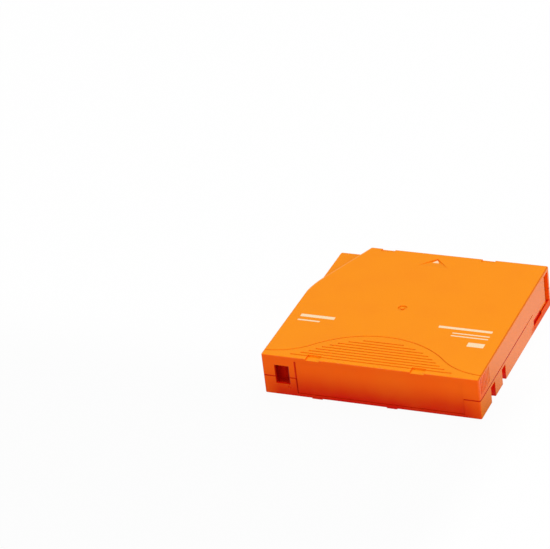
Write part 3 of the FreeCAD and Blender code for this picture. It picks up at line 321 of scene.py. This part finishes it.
def dress(material, *names):
    """Gives a finish to CAD parts, in the material slots that their objects already have."""
    for name in names:
        for slot in frame["nodes"][name].material_slots:
            slot.material = material


print("finish helpers ready")

# %% [markdown]
# ## Orange plastic
# The shells and the door are moulded in one orange. The plastic lets some light in, but that light and its
# shade are painted into
# the colour here: faces that are turned up get a yellower orange as painted light, upright faces stay deeper,
# and the label end is painted redder and darker towards the ground as painted shade. Inside the case a
# painted red shade stands for light that has passed through the orange more than once. One colour could not
# show that, so the tone follows the way a face looks and how deep it lies.

# %% Find where a surface lies
HALF_WIDTH = cad_box[1][0]
HALF_DEPTH = cad_box[1][1]
BASE = 0.4 * MM
SEAM = 10.1 * MM
ROOM_TOP = 20.3 * MM
STEP_ROOM_TOP = 15.3 * MM
LABEL_END = -48.0 * MM
PANEL_LEFT = -36.4 * MM
PANEL_RIGHT = 44.8 * MM

orange, start, shader = new_finish(
    "moulded_orange", {"IOR": 1.5, "Specular IOR Level": 0.4, "Emission Strength": 1.0})
place = object_place(start)
facing = start.node("ShaderNodeTexCoord", {}, {}, "Normal")
x, y, z = parts_of(start, place)
face_x, face_y, face_z = parts_of(start, facing)

side_depth = HALF_WIDTH - abs(x)
end_depth = HALF_DEPTH - abs(y)
depth = start.math("MINIMUM", start.math("MINIMUM", side_depth, end_depth), z - BASE)
off_step = largest(start, x, -y) > 0.0
room_top = STEP_ROOM_TOP + off_step * (ROOM_TOP - STEP_ROOM_TOP)
within = z < room_top
at_label = y < LABEL_END
right_of_panel = x > PANEL_RIGHT
on_panel = at_label * (x > PANEL_LEFT) * (1 - right_of_panel)
print("places ready")

# %% [markdown]
# ## Inside and in the cracks
# Some faces lie less deep than the inside of the case and yet are painted with the same red shade: ledges
# that look up, and the walls of the window and of the gap round the panel. Each is found by its depth and by
# the way it looks. A mask could also be painted by hand, but that would need an image.

# %% Find the inside
INSIDE_DEPTH = (0.9 * MM, 1.5 * MM)
LEDGE_DEPTH = (0.02 * MM, 0.2 * MM)
LEDGE_UP = (0.6, 0.9)
CRACK_DEPTH = (0.1 * MM, 0.3 * MM)
SQUARE_ON = (0.3, 0.9)

to_label = ramp(start, -face_y, *SQUARE_ON)
deep = ramp(start, depth, *INSIDE_DEPTH) * within
ledge = ramp(start, depth, *LEDGE_DEPTH) * ramp(start, face_z, *LEDGE_UP) * within
crack = ramp(start, depth, *CRACK_DEPTH) * (1 - to_label) * at_label * within
print("inside, ledges and cracks ready")

# %% [markdown]
# ## The notches and the thin wall
# The walls of the two side notches get the painted red shade too, and so does the inner face of the thin
# leading wall, which the tape's exit shows. They lie near the outside, so each is looked for only where it
# stands. The strongest of all these masks says where the painted red shade goes.

# %% Find the notches and the thin wall
NOTCH_DEPTH = (0.05 * MM, 0.3 * MM)
NOTCH_ROOT = 49 * MM
NOTCH_TOP = 9 * MM
NOTCHES_Y = -26 * MM
NOTCHES_REACH = 14 * MM
EXIT_X = 40 * MM
EXIT_Y = 44 * MM

notch = ramp(start, side_depth, *NOTCH_DEPTH) * (1 - ramp(start, face_x, *SQUARE_ON))
notch = notch * (x > NOTCH_ROOT) * (z < NOTCH_TOP) * (abs(y - NOTCHES_Y) < NOTCHES_REACH)
thin_wall = to_label * (x > EXIT_X) * (y > EXIT_Y) * within
# The largest of these masks says where the painted red shade goes.
inside = largest(start, deep, ledge, crack, notch, thin_wall)
print("inside mask ready")

# %% [markdown]
# ## The seam
# The two shells meet in a narrow groove, which shows as a dark red line. The groove is real; its dark red is
# painted shade. The mask takes the groove's walls and, except beside the door, a hair's breadth of its lips,
# so that the line still shows in a small picture.
# The left edge and the foot of the label panel get the same painted shade.

# %% Find the seam
GROOVE_MOUTH = (0.1 * MM, 0.2 * MM)
GROOVE_FLOOR = (0.5 * MM, 0.6 * MM)
GROOVE_REACH = 0.4 * MM
LIP_REACH = 0.34 * MM
LIP_DEPTH = 0.1 * MM
DOOR_X = 30 * MM
DOOR_Y = 14.5 * MM
PANEL_EDGE = 0.35 * MM
PANEL_TOP = 19.2 * MM
PANEL_FOOT = 3 * MM
FOOT_UP = (0.3, 0.7)

# These masks say where the painted shade of the seam and the panel's edges goes.
off_seam = abs(z - SEAM)
groove = ramp(start, depth, *GROOVE_MOUTH) * (1 - ramp(start, depth, *GROOVE_FLOOR))
groove = groove * (off_seam < GROOVE_REACH)
by_door = (x > DOOR_X) * (y > DOOR_Y)
lips = (off_seam < LIP_REACH) * (depth < LIP_DEPTH) * (1 - by_door)
panel_side = (abs(x - PANEL_LEFT) < PANEL_EDGE) * (z < PANEL_TOP)
panel_foot = (z < PANEL_FOOT) * ramp(start, face_z, *FOOT_UP)
panel_edges = largest(start, panel_side, panel_foot) * at_label
seam = largest(start, largest(start, groove, lips) * (1 - on_panel), panel_edges)
print("seam mask ready")

# %% [markdown]
# ## The rim of the step
# The edge over the stepped corner catches the light from behind and shows as a pale line, which is painted
# here as a highlight. It runs along an arc round the reel and then straight on, so the mask measures how near
# a point of the top lies to either.

# %% Find the rim of the step
REEL_X, REEL_Y = joints["reel_spin"]["pos_m"][:2]
STEP_RADIUS = 50.8 * MM
STEP_ANGLE = radians(22.3)
RIM_START = STEP_RADIUS - 1.2 * MM
RIM_FULL = STEP_RADIUS - 0.5 * MM
RIM_LOW = 20.4 * MM
RIM_Y = 5 * MM

from_reel_x = x - REEL_X
from_reel_y = y - REEL_Y
from_reel = (from_reel_x ** 2 + from_reel_y ** 2) ** 0.5
slant = from_reel_y * sin(STEP_ANGLE) - from_reel_x * cos(STEP_ANGLE)
past_arc = from_reel_x * sin(STEP_ANGLE) + from_reel_y * cos(STEP_ANGLE) > 0.0
reach = past_arc * slant + (1 - past_arc) * from_reel
# The pale line that this mask places is a painted highlight.
rim_highlight = ramp(start, reach, RIM_START, RIM_FULL) * (z > RIM_LOW) * (y > RIM_Y)
print("rim mask ready")

# %% [markdown]
# ## Tones of the orange
# The sides, the sill under the tape's exit, the grip near the label end, the label end, the top, its right
# edge and the rim of the step each have a tone. The top's is painted light; those of the label end, its foot,
# the sill and the right edge are painted shade; the rim's is a painted highlight. They could be separate
# materials, but the shells are one piece each. So every tone is blended over the ones before it, where its
# own mask says.

# %% Blend the tones
# Painted light and shade: a lighter, yellower orange for faces turned up, darker and redder ones for the
# label end and its foot, the sill and the right edge of the top, and a pale painted highlight for the rim of
# the step.
ORANGE_PAINTED_LIT_TOP = (0.95, 0.285, 0.004, 1)
ORANGE_SIDE = (0.93, 0.20, 0.002, 1)
ORANGE_LABEL_SHADE = (0.93, 0.112, 0.0006, 1)
ORANGE_LOW_SHADE = (0.64, 0.004, 0.0005, 1)
ORANGE_SILL_SHADE = (0.86, 0.085, 0.001, 1)
ORANGE_GRIP = (1.0, 0.13, 0.0005, 1)
ORANGE_EDGE_SHADE = (0.74, 0.15, 0.001, 1)
ORANGE_RIM_HIGHLIGHT = (1.0, 0.37, 0.07, 1)
LOW_TOP = 17 * MM
LOW_LEFT_X = (-52 * MM, -44 * MM)
LOW_LEFT_KEPT = 0.45
LOW_RIGHT_X = (44 * MM, 52 * MM)
LOW_RIGHT_LOST = 0.4
SILL_TOP = 4.3 * MM
SILL_Y = (18 * MM, 27 * MM)
GRIP_Y = (-46 * MM, -36 * MM)
RIGHT_FACE = (0.5, 0.9)
TOP_FACE = (0.25, 0.95)
EDGE_RIGHT = (0.15, 0.4)
EDGE_UP = (0.2, 0.5)

# Painted shade: the label end turns darker and redder towards the ground, less so near its two corners.
left_share = LOW_LEFT_KEPT + (1 - LOW_LEFT_KEPT) * ramp(start, x, *LOW_LEFT_X)
right_share = 1 - LOW_RIGHT_LOST * ramp(start, x, *LOW_RIGHT_X)
low_shade_share = (1 - ramp(start, z, 0.0, LOW_TOP)) * left_share * right_share
shaded_label_tone = blend_colour(start, low_shade_share, ORANGE_LABEL_SHADE, ORANGE_LOW_SHADE)
on_right = ramp(start, face_x, *RIGHT_FACE)
# Painted shade on the sill under the door; the same mask also makes the sill rougher.
sill_shade_share = (z < SILL_TOP) * ramp(start, y, *SILL_Y) * on_right
grip_share = (1 - ramp(start, y, *GRIP_Y)) * (z > SEAM) * on_right
# Painted shade on the rounded edge along the right side of the top.
edge_shade_share = ramp(start, face_x, *EDGE_RIGHT) * ramp(start, face_z, *EDGE_UP)
tone = blend_colour(start, sill_shade_share, ORANGE_SIDE, ORANGE_SILL_SHADE)
tone = blend_colour(start, grip_share, tone, ORANGE_GRIP)
tone = blend_colour(start, to_label * at_label, tone, shaded_label_tone)
tone = blend_colour(start, ramp(start, face_z, *TOP_FACE), tone, ORANGE_PAINTED_LIT_TOP)
tone = blend_colour(start, edge_shade_share, tone, ORANGE_EDGE_SHADE)
tone = blend_colour(start, rim_highlight, tone, ORANGE_RIM_HIGHLIGHT)
print("tones ready")

# %% [markdown]
# ## Grain and glow
# The mould was spark eroded, which leaves a very fine grain, and the flow of the plastic changes tone and
# gloss slightly. Both are noises in the part's own coordinates, one a fifth of a millimetre wide and one as
# wide as a thumb. Light that comes through the plastic could be traced, which is slow. Here it is painted: a
# faint red glow inside the case and a brighter one on the thin leading wall, with the painted shade of the
# inside and of the seam laid over the tone.

# %% Make the orange plastic
# A red painted shade for the inside and the cracks, a darker painted shade for the seam, and two painted
# glows that stand for light through the plastic.
ORANGE_FLOW = (0.88, 0.19, 0.002, 1)
ORANGE_INSIDE_SHADE = (0.90, 0.014, 0.001, 1)
ORANGE_SEAM_SHADE = (0.66, 0.022, 0.001, 1)
PAINTED_RED_GLOW = (0.03, 0.0004, 0.0, 1)
PAINTED_THIN_WALL_GLOW = (0.27, 0.045, 0.001, 1)
NO_LIGHT = (0, 0, 0, 1)
GRAIN = 0.22 * MM
GRAIN_DEPTH = 0.02 * MM
FLOW = 18 * MM
FLOW_SPREAD = (0.35, 0.85)
FLOW_SHARE = 0.16
SILL_ROUGHER = 0.45

flow = noise(start, place, FLOW)
grain = noise(start, place, GRAIN, 3.0)
tone = blend_colour(start, ramp(start, flow, *FLOW_SPREAD) * FLOW_SHARE, tone, ORANGE_FLOW)
# Painted shade: red inside the case, on ledges, in cracks, in the notches and on the thin leading wall.
tone = blend_colour(start, inside, tone, ORANGE_INSIDE_SHADE)
# Painted glow that stands for light coming through the plastic.
glow = blend_colour(start, deep, NO_LIGHT, PAINTED_RED_GLOW)
connect(shader, {
    "Base Color": blend_colour(start, seam, tone, ORANGE_SEAM_SHADE),
    "Emission Color": blend_colour(start, thin_wall, glow, PAINTED_THIN_WALL_GLOW),
    "Roughness": 0.17 + 0.06 * flow + 0.05 * grain + SILL_ROUGHER * sill_shade_share,
    "Normal": bump(start, grain, GRAIN_DEPTH, 0.25),
})
dress(orange, "upper_shell", "lower_shell", "notch_pockets", "locating_bush", "sliding_door")
print("finish", orange.name)

# %% [markdown]
# ## Red slide
# The tab behind the small window is a matt, deep red plastic, so that its place can be seen.

# %% Make the red plastic
RED = (0.42, 0.008, 0.004, 1)
RED_DULL = (0.30, 0.010, 0.006, 1)
RED_PATCH = 3 * MM
RED_GRAIN = 0.18 * MM

red, start, shader = new_finish("slide_red", {"IOR": 1.5})
place = object_place(start)
patches = noise(start, place, RED_PATCH)
grain = noise(start, place, RED_GRAIN, 3.0)
connect(shader, {
    "Base Color": blend_colour(start, patches, RED, RED_DULL),
    "Roughness": 0.48 + 0.12 * grain,
    "Normal": bump(start, grain, GRAIN_DEPTH, 0.3),
})
dress(red, "write_protect_slide")
print("finish", red.name)

# %% [markdown]
# ## Natural plastic
# The reel, the brake and its release are moulded in uncoloured plastic, a milky off white with slightly
# darker patches from its flow.


# %% Make the natural plastics
NATURAL_FLOW = 7 * MM
NATURAL_GRAIN = 0.25 * MM


def natural_plastic(name, pale, dark):
    material, start, shader = new_finish(name, {"IOR": 1.47})
    place = object_place(start)
    flow = noise(start, place, NATURAL_FLOW, 3.0)
    grain = noise(start, place, NATURAL_GRAIN)
    connect(shader, {
        "Base Color": blend_colour(start, ramp(start, flow, 0.3, 0.8), pale, dark),
        "Roughness": 0.40 + 0.12 * flow,
        "Normal": bump(start, grain, GRAIN_DEPTH, 0.2),
    })
    return material


reel_plastic = natural_plastic("reel_plastic", (0.80, 0.79, 0.74, 1), (0.68, 0.66, 0.60, 1))
brake_plastic = natural_plastic("brake_plastic", (0.88, 0.87, 0.84, 1), (0.78, 0.77, 0.73, 1))
dress(reel_plastic, "reel_hub", "reel_upper_flange")
dress(brake_plastic, "brake_button", "brake_release")
print("finishes", reel_plastic.name, brake_plastic.name)

# %% [markdown]
# ## Steels
# The leader pin and the drive plate are turned, so fine lines run round them. The spring wire is drawn,
# and the screws are zinc plated, which leaves cloudy grey patches. A stretched noise gives lines, a plain
# one gives clouds.


# %% Make the steels
STEEL_CLOUD = 2.5 * MM
LINE_DEPTH = 0.01 * MM
ROUND_LINES = (0.05, 0.05, 1)
NO_STRETCH = (1, 1, 1)


def steel(name, bright, dark, stretch, size, rough):
    material, start, shader = new_finish(name, {"Metallic": 1.0})
    place = object_place(start)
    lines_place = start.node("ShaderNodeMapping", {}, {"Vector": place, "Scale": stretch})
    lines = noise(start, lines_place, size, 3.0)
    clouds = noise(start, place, STEEL_CLOUD)
    connect(shader, {
        "Base Color": blend_colour(start, ramp(start, clouds, 0.3, 0.75), bright, dark),
        "Roughness": rough + 0.14 * lines,
        "Normal": bump(start, lines, LINE_DEPTH, 0.25),
    })
    return material


turned_steel = steel(
    "turned_steel", (0.74, 0.74, 0.73, 1), (0.62, 0.62, 0.63, 1), ROUND_LINES, 0.05 * MM, 0.20)
wire_steel = steel(
    "wire_steel", (0.66, 0.65, 0.64, 1), (0.50, 0.50, 0.51, 1), NO_STRETCH, 0.3 * MM, 0.26)
zinc_steel = steel(
    "zinc_steel", (0.60, 0.60, 0.58, 1), (0.44, 0.45, 0.46, 1), NO_STRETCH, 0.2 * MM, 0.32)
dress(turned_steel, "leader_pin", "drive_plate")
dress(wire_steel, "leader_pin_spring")
dress(zinc_steel, "case_screws")
print("finishes", turned_steel.name, wire_steel.name, zinc_steel.name)

# %% [markdown]
# ## Tape
# Seen from the side, wound tape is a stack of thousands of edges, each a hair higher or lower than the
# next. A noise that only changes with the distance from the reel's axis draws those rings, on the dark
# brown of the film.


# %% Make the tape film
TAPE_DARK = (0.020, 0.014, 0.011, 1)
TAPE_LIGHT = (0.055, 0.038, 0.028, 1)
RING_WIDTH = 0.12 * MM
RING_DEPTH = 0.03 * MM
BAND_WIDTH = 1.8 * MM


def ring_noise(start, radius, size, detail):
    """Cloudy values that change only with the distance from the axis."""
    return start.node("ShaderNodeTexNoise", {"noise_dimensions": "1D"}, {
        "W": radius, "Scale": 1 / size, "Detail": detail})


film, start, shader = new_finish("tape_film", {"IOR": 1.6})
film_x, film_y = parts_of(start, object_place(start))[:2]
radius = ((film_x - REEL_X) ** 2 + (film_y - REEL_Y) ** 2) ** 0.5
rings = ring_noise(start, radius, RING_WIDTH, 3.0)
bands = ring_noise(start, radius, BAND_WIDTH, 1.0)
connect(shader, {
    "Base Color": blend_colour(start, 0.5 * rings + 0.5 * bands, TAPE_DARK, TAPE_LIGHT),
    "Roughness": 0.24 + 0.16 * bands,
    "Normal": bump(start, rings, RING_DEPTH, 0.4),
})
dress(film, "tape_pack", "tape_leader")
print("finish", film.name)

# %% [markdown]
# ## Clip, board, antenna and chip
# The small parts inside: a matt black clip, a green board with a slightly mottled mask, copper foil that
# has started to darken, and a drop of black resin over the chip. Two tones in soft patches suit them all.


# %% Make the small parts' finishes
FINE_GRAIN = 0.2 * MM


def two_tone(name, settings, first, second, size, rough, depth):
    material, start, shader = new_finish(name, settings)
    place = object_place(start)
    patches = noise(start, place, size, 3.0)
    grain = noise(start, place, FINE_GRAIN)
    connect(shader, {
        "Base Color": blend_colour(start, ramp(start, patches, 0.3, 0.75), first, second),
        "Roughness": rough + 0.15 * patches,
        "Normal": bump(start, grain, depth, 0.3),
    })
    return material


clip_black = two_tone(
    "clip_black", {}, (0.030, 0.030, 0.032, 1), (0.050, 0.050, 0.052, 1), 1.5 * MM, 0.45, 0.02 * MM)
chip_resin = two_tone(
    "chip_resin", {}, (0.012, 0.012, 0.012, 1), (0.028, 0.027, 0.026, 1), 1 * MM, 0.30, 0.03 * MM)
copper = two_tone(
    "antenna_copper", {"Metallic": 1.0}, (0.80, 0.42, 0.24, 1), (0.58, 0.28, 0.15, 1),
    2 * MM, 0.24, 0.01 * MM)
board = two_tone(
    "board_green", {}, (0.018, 0.12, 0.05, 1), (0.03, 0.17, 0.07, 1), 0.8 * MM, 0.28, 0.02 * MM)
dress(clip_black, "leader_pin_clip")
dress(chip_resin, "memory_chip")
dress(copper, "memory_antenna")
dress(board, "memory_board")
print("finishes", clip_black.name, chip_resin.name, copper.name, board.name)

# %% [markdown]
# ## Spring wire
# Two coil springs work inside: a long thin one that shuts the door and a wide one that presses the brake
# down. A coil could be a curve with a bevel. A ring of wire that the Screw modifier sweeps round an axis
# gives the same coil as a plain mesh, and its two ends are then filled.


# %% Define how a spring is wound
WIRE_SIDES = 12
STEPS_A_TURN = 32
SMOOTH_BELOW = radians(50)


def wind_spring(name, radius, wire, length, turns):
    """A coil about Z that starts at the height of the origin, with its wire ends closed."""
    bpy.ops.object.select_all(action="DESELECT")
    bpy.ops.mesh.primitive_circle_add(vertices=WIRE_SIDES, radius=wire / 2, location=(0, 0, 0))
    spring = bpy.context.object
    spring.name = name
    bpy.ops.object.mode_set(mode="EDIT")
    bpy.ops.mesh.select_all(action="SELECT")
    bpy.ops.transform.rotate(value=pi / 2, orient_axis="X", center_override=(0, 0, 0))
    bpy.ops.transform.translate(value=(radius, 0, 0))
    bpy.ops.object.mode_set(mode="OBJECT")
    sweep = spring.modifiers.new("sweep", "SCREW")
    sweep.axis = "Z"
    sweep.angle = 2 * pi * turns
    sweep.screw_offset = length
    sweep.steps = STEPS_A_TURN * turns
    sweep.render_steps = STEPS_A_TURN * turns
    bpy.ops.object.modifier_apply(modifier=sweep.name)
    bpy.ops.object.mode_set(mode="EDIT")
    bpy.ops.mesh.select_all(action="DESELECT")
    bpy.ops.mesh.select_mode(type="EDGE")
    bpy.ops.mesh.select_non_manifold()
    bpy.ops.mesh.edge_face_add()
    bpy.ops.mesh.select_all(action="SELECT")
    bpy.ops.mesh.normals_make_consistent(inside=False)
    bpy.ops.object.mode_set(mode="OBJECT")
    bpy.ops.object.shade_smooth_by_angle(angle=SMOOTH_BELOW)
    spring.data.materials.append(wire_steel)
    return spring


def shift_mesh(piece, turn_x, move):
    """Turns a piece about X and moves it, in its mesh, so that its object stays at the origin."""
    bpy.ops.object.select_all(action="DESELECT")
    piece.select_set(True)
    bpy.context.view_layer.objects.active = piece
    bpy.ops.object.mode_set(mode="EDIT")
    bpy.ops.mesh.select_all(action="SELECT")
    if turn_x:
        bpy.ops.transform.rotate(value=turn_x, orient_axis="X", center_override=(0, 0, 0))
    bpy.ops.transform.translate(value=move)
    bpy.ops.object.mode_set(mode="OBJECT")


print("spring helpers ready")

# %% [markdown]
# ## The door spring
# A long, thin coil inside the case that pushes the door shut. One helper winds both springs about Z, so this
# coil is wound upright and then turned to lie along Y. Its length comes from the box of the CAD spring that
# it replaces.

# %% Wind the door spring
DOOR_WIRE = 0.4 * MM
DOOR_COIL_RADIUS = 0.95 * MM
DOOR_TURNS = 15

low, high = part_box("door_spring")
door_length = high[1] - low[1] - DOOR_WIRE
door_coil = wind_spring("door_spring_wire", DOOR_COIL_RADIUS, DOOR_WIRE, door_length, DOOR_TURNS)
shift_mesh(door_coil, pi / 2, ((low[0] + high[0]) / 2, low[1] + DOOR_WIRE / 2, (low[2] + high[2]) / 2))
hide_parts("door_spring")
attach(door_coil, "case")
print(door_coil.name, len(door_coil.data.polygons), "faces")

# %% [markdown]
# ## The brake spring
# A short, wide coil round the reel's axis that presses the brake down. It stands upright, as the helper winds
# it, so it is only moved into place. Its length too comes from the box of the CAD spring.

# %% Wind the brake spring
BRAKE_WIRE = 0.8 * MM
BRAKE_COIL_RADIUS = 6.2 * MM
BRAKE_TURNS = 4

low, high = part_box("brake_spring")
brake_length = high[2] - low[2] - BRAKE_WIRE
brake_coil = wind_spring("brake_spring_wire", BRAKE_COIL_RADIUS, BRAKE_WIRE, brake_length, BRAKE_TURNS)
shift_mesh(brake_coil, 0, (REEL_X, REEL_Y, low[2] + BRAKE_WIRE / 2))
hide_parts("brake_spring")
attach(brake_coil, "case")
print(brake_coil.name, len(brake_coil.data.polygons), "faces")

# %% [markdown]
# ## Meshes of their own
# Each coil gets a mesh of its own, after the box of its CAD spring is read again.

low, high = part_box("door_spring")
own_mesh(door_coil)
low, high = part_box("brake_spring")
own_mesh(brake_coil)

# %% [markdown]
# ## Printed marks
# A white print lies on the top: plain bars where a maker's words would stand, and a small triangle in the
# tip of the sunk arrow. An image could carry print, but an image is tied to one size. Here each mark is a
# thin plate of ink: a plane whose corners are bevelled round and which is then pulled up by a hair. The ink
# lets some orange through where it is thin.

# %% Make the ink
INK_WHITE = (0.93, 0.72, 0.46, 1)
INK_THIN = (0.94, 0.52, 0.18, 1)
INK_PATCH = 0.5 * MM

ink, start, shader = new_finish("print_white", {"IOR": 1.45})
cover = noise(start, object_place(start), INK_PATCH, 3.0)
connect(shader, {
    "Base Color": blend_colour(start, ramp(start, cover, 0.45, 0.85), INK_WHITE, INK_THIN),
    "Roughness": 0.42 + 0.15 * cover,
})
print("finish", ink.name)

# %% [markdown]
# ## Bars of ink
# Every bar starts as a plane of one metre that is resized in edit mode, so that its object keeps a scale of
# one. Bevelling its corners as vertices rounds the outline, and the extrusion gives the ink its thickness.

# %% Print the bars
INK_THICKNESS = 0.02 * MM
BAR_ROUNDING = 0.3 * MM
TOP = cad_box[1][2]
# Each bar's centre and its size, in millimetres
BARS = {
    "print_bar_right_1": ((33.0, -11.6), (26.0, 1.7)),
    "print_bar_right_2": ((37.0, -15.6), (18.0, 0.8)),
    "print_bar_right_3": ((37.0, -17.9), (18.0, 0.8)),
    "print_bar_right_4": ((42.0, -23.6), (8.0, 3.4)),
    "print_bar_left_1": ((-38.5, -15.2), (17.0, 2.2)),
    "print_bar_left_2": ((-41.5, -19.2), (11.0, 1.0)),
}


def pull_up(thickness):
    """Gives the selected flat face a thickness, with its normals turned out."""
    bpy.ops.mesh.extrude_region_move(TRANSFORM_OT_translate={"value": (0, 0, thickness)})
    bpy.ops.mesh.select_all(action="SELECT")
    bpy.ops.mesh.normals_make_consistent(inside=False)


def finish_mark(mark, name):
    mark.name = name
    mark.data.materials.append(ink)
    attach(mark, "case")


for name, ((bar_x, bar_y), (width, height)) in BARS.items():
    bpy.ops.object.select_all(action="DESELECT")
    bpy.ops.mesh.primitive_plane_add(size=1)
    bar = bpy.context.object
    bpy.ops.object.mode_set(mode="EDIT")
    bpy.ops.mesh.select_all(action="SELECT")
    bpy.ops.transform.resize(value=(width * MM, height * MM, 1))
    bpy.ops.mesh.bevel(offset=BAR_ROUNDING, segments=4, affect="VERTICES")
    bpy.ops.mesh.select_all(action="SELECT")
    bpy.ops.transform.translate(value=(bar_x * MM, bar_y * MM, TOP))
    pull_up(INK_THICKNESS)
    bpy.ops.object.mode_set(mode="OBJECT")
    finish_mark(bar, name)
print("bars", len(BARS))

# %% [markdown]
# ## The triangle in the arrow
# The sunk arrow has a floor that slopes down towards its tip. A circle of three corners is a triangle that
# already points along Y. It is laid on that slope.

# %% Print the triangle
ARROW_X = -1.0 * MM
ARROW_BASE_Y = 39.0 * MM
ARROW_LENGTH = 7.6 * MM
ARROW_START = 0.02 * MM
ARROW_DROP = 0.68 * MM
MARK_Y = 44.2 * MM
MARK_RADIUS = 1.9 * MM
MARK_ROUNDING = 0.15 * MM

bpy.ops.object.select_all(action="DESELECT")
bpy.ops.mesh.primitive_circle_add(vertices=3, radius=MARK_RADIUS, fill_type="NGON")
triangle = bpy.context.object
bpy.ops.object.mode_set(mode="EDIT")
bpy.ops.mesh.select_all(action="SELECT")
bpy.ops.mesh.bevel(offset=MARK_ROUNDING, segments=3, affect="VERTICES")
bpy.ops.mesh.select_all(action="SELECT")
pull_up(INK_THICKNESS)
bpy.ops.object.mode_set(mode="OBJECT")
sink = ARROW_START + ARROW_DROP * (MARK_Y - ARROW_BASE_Y) / ARROW_LENGTH
shift_mesh(triangle, atan2(ARROW_DROP, ARROW_LENGTH), (ARROW_X, MARK_Y, TOP - sink))
finish_mark(triangle, "print_triangle")
print(triangle.name, len(triangle.data.vertices), "corners")
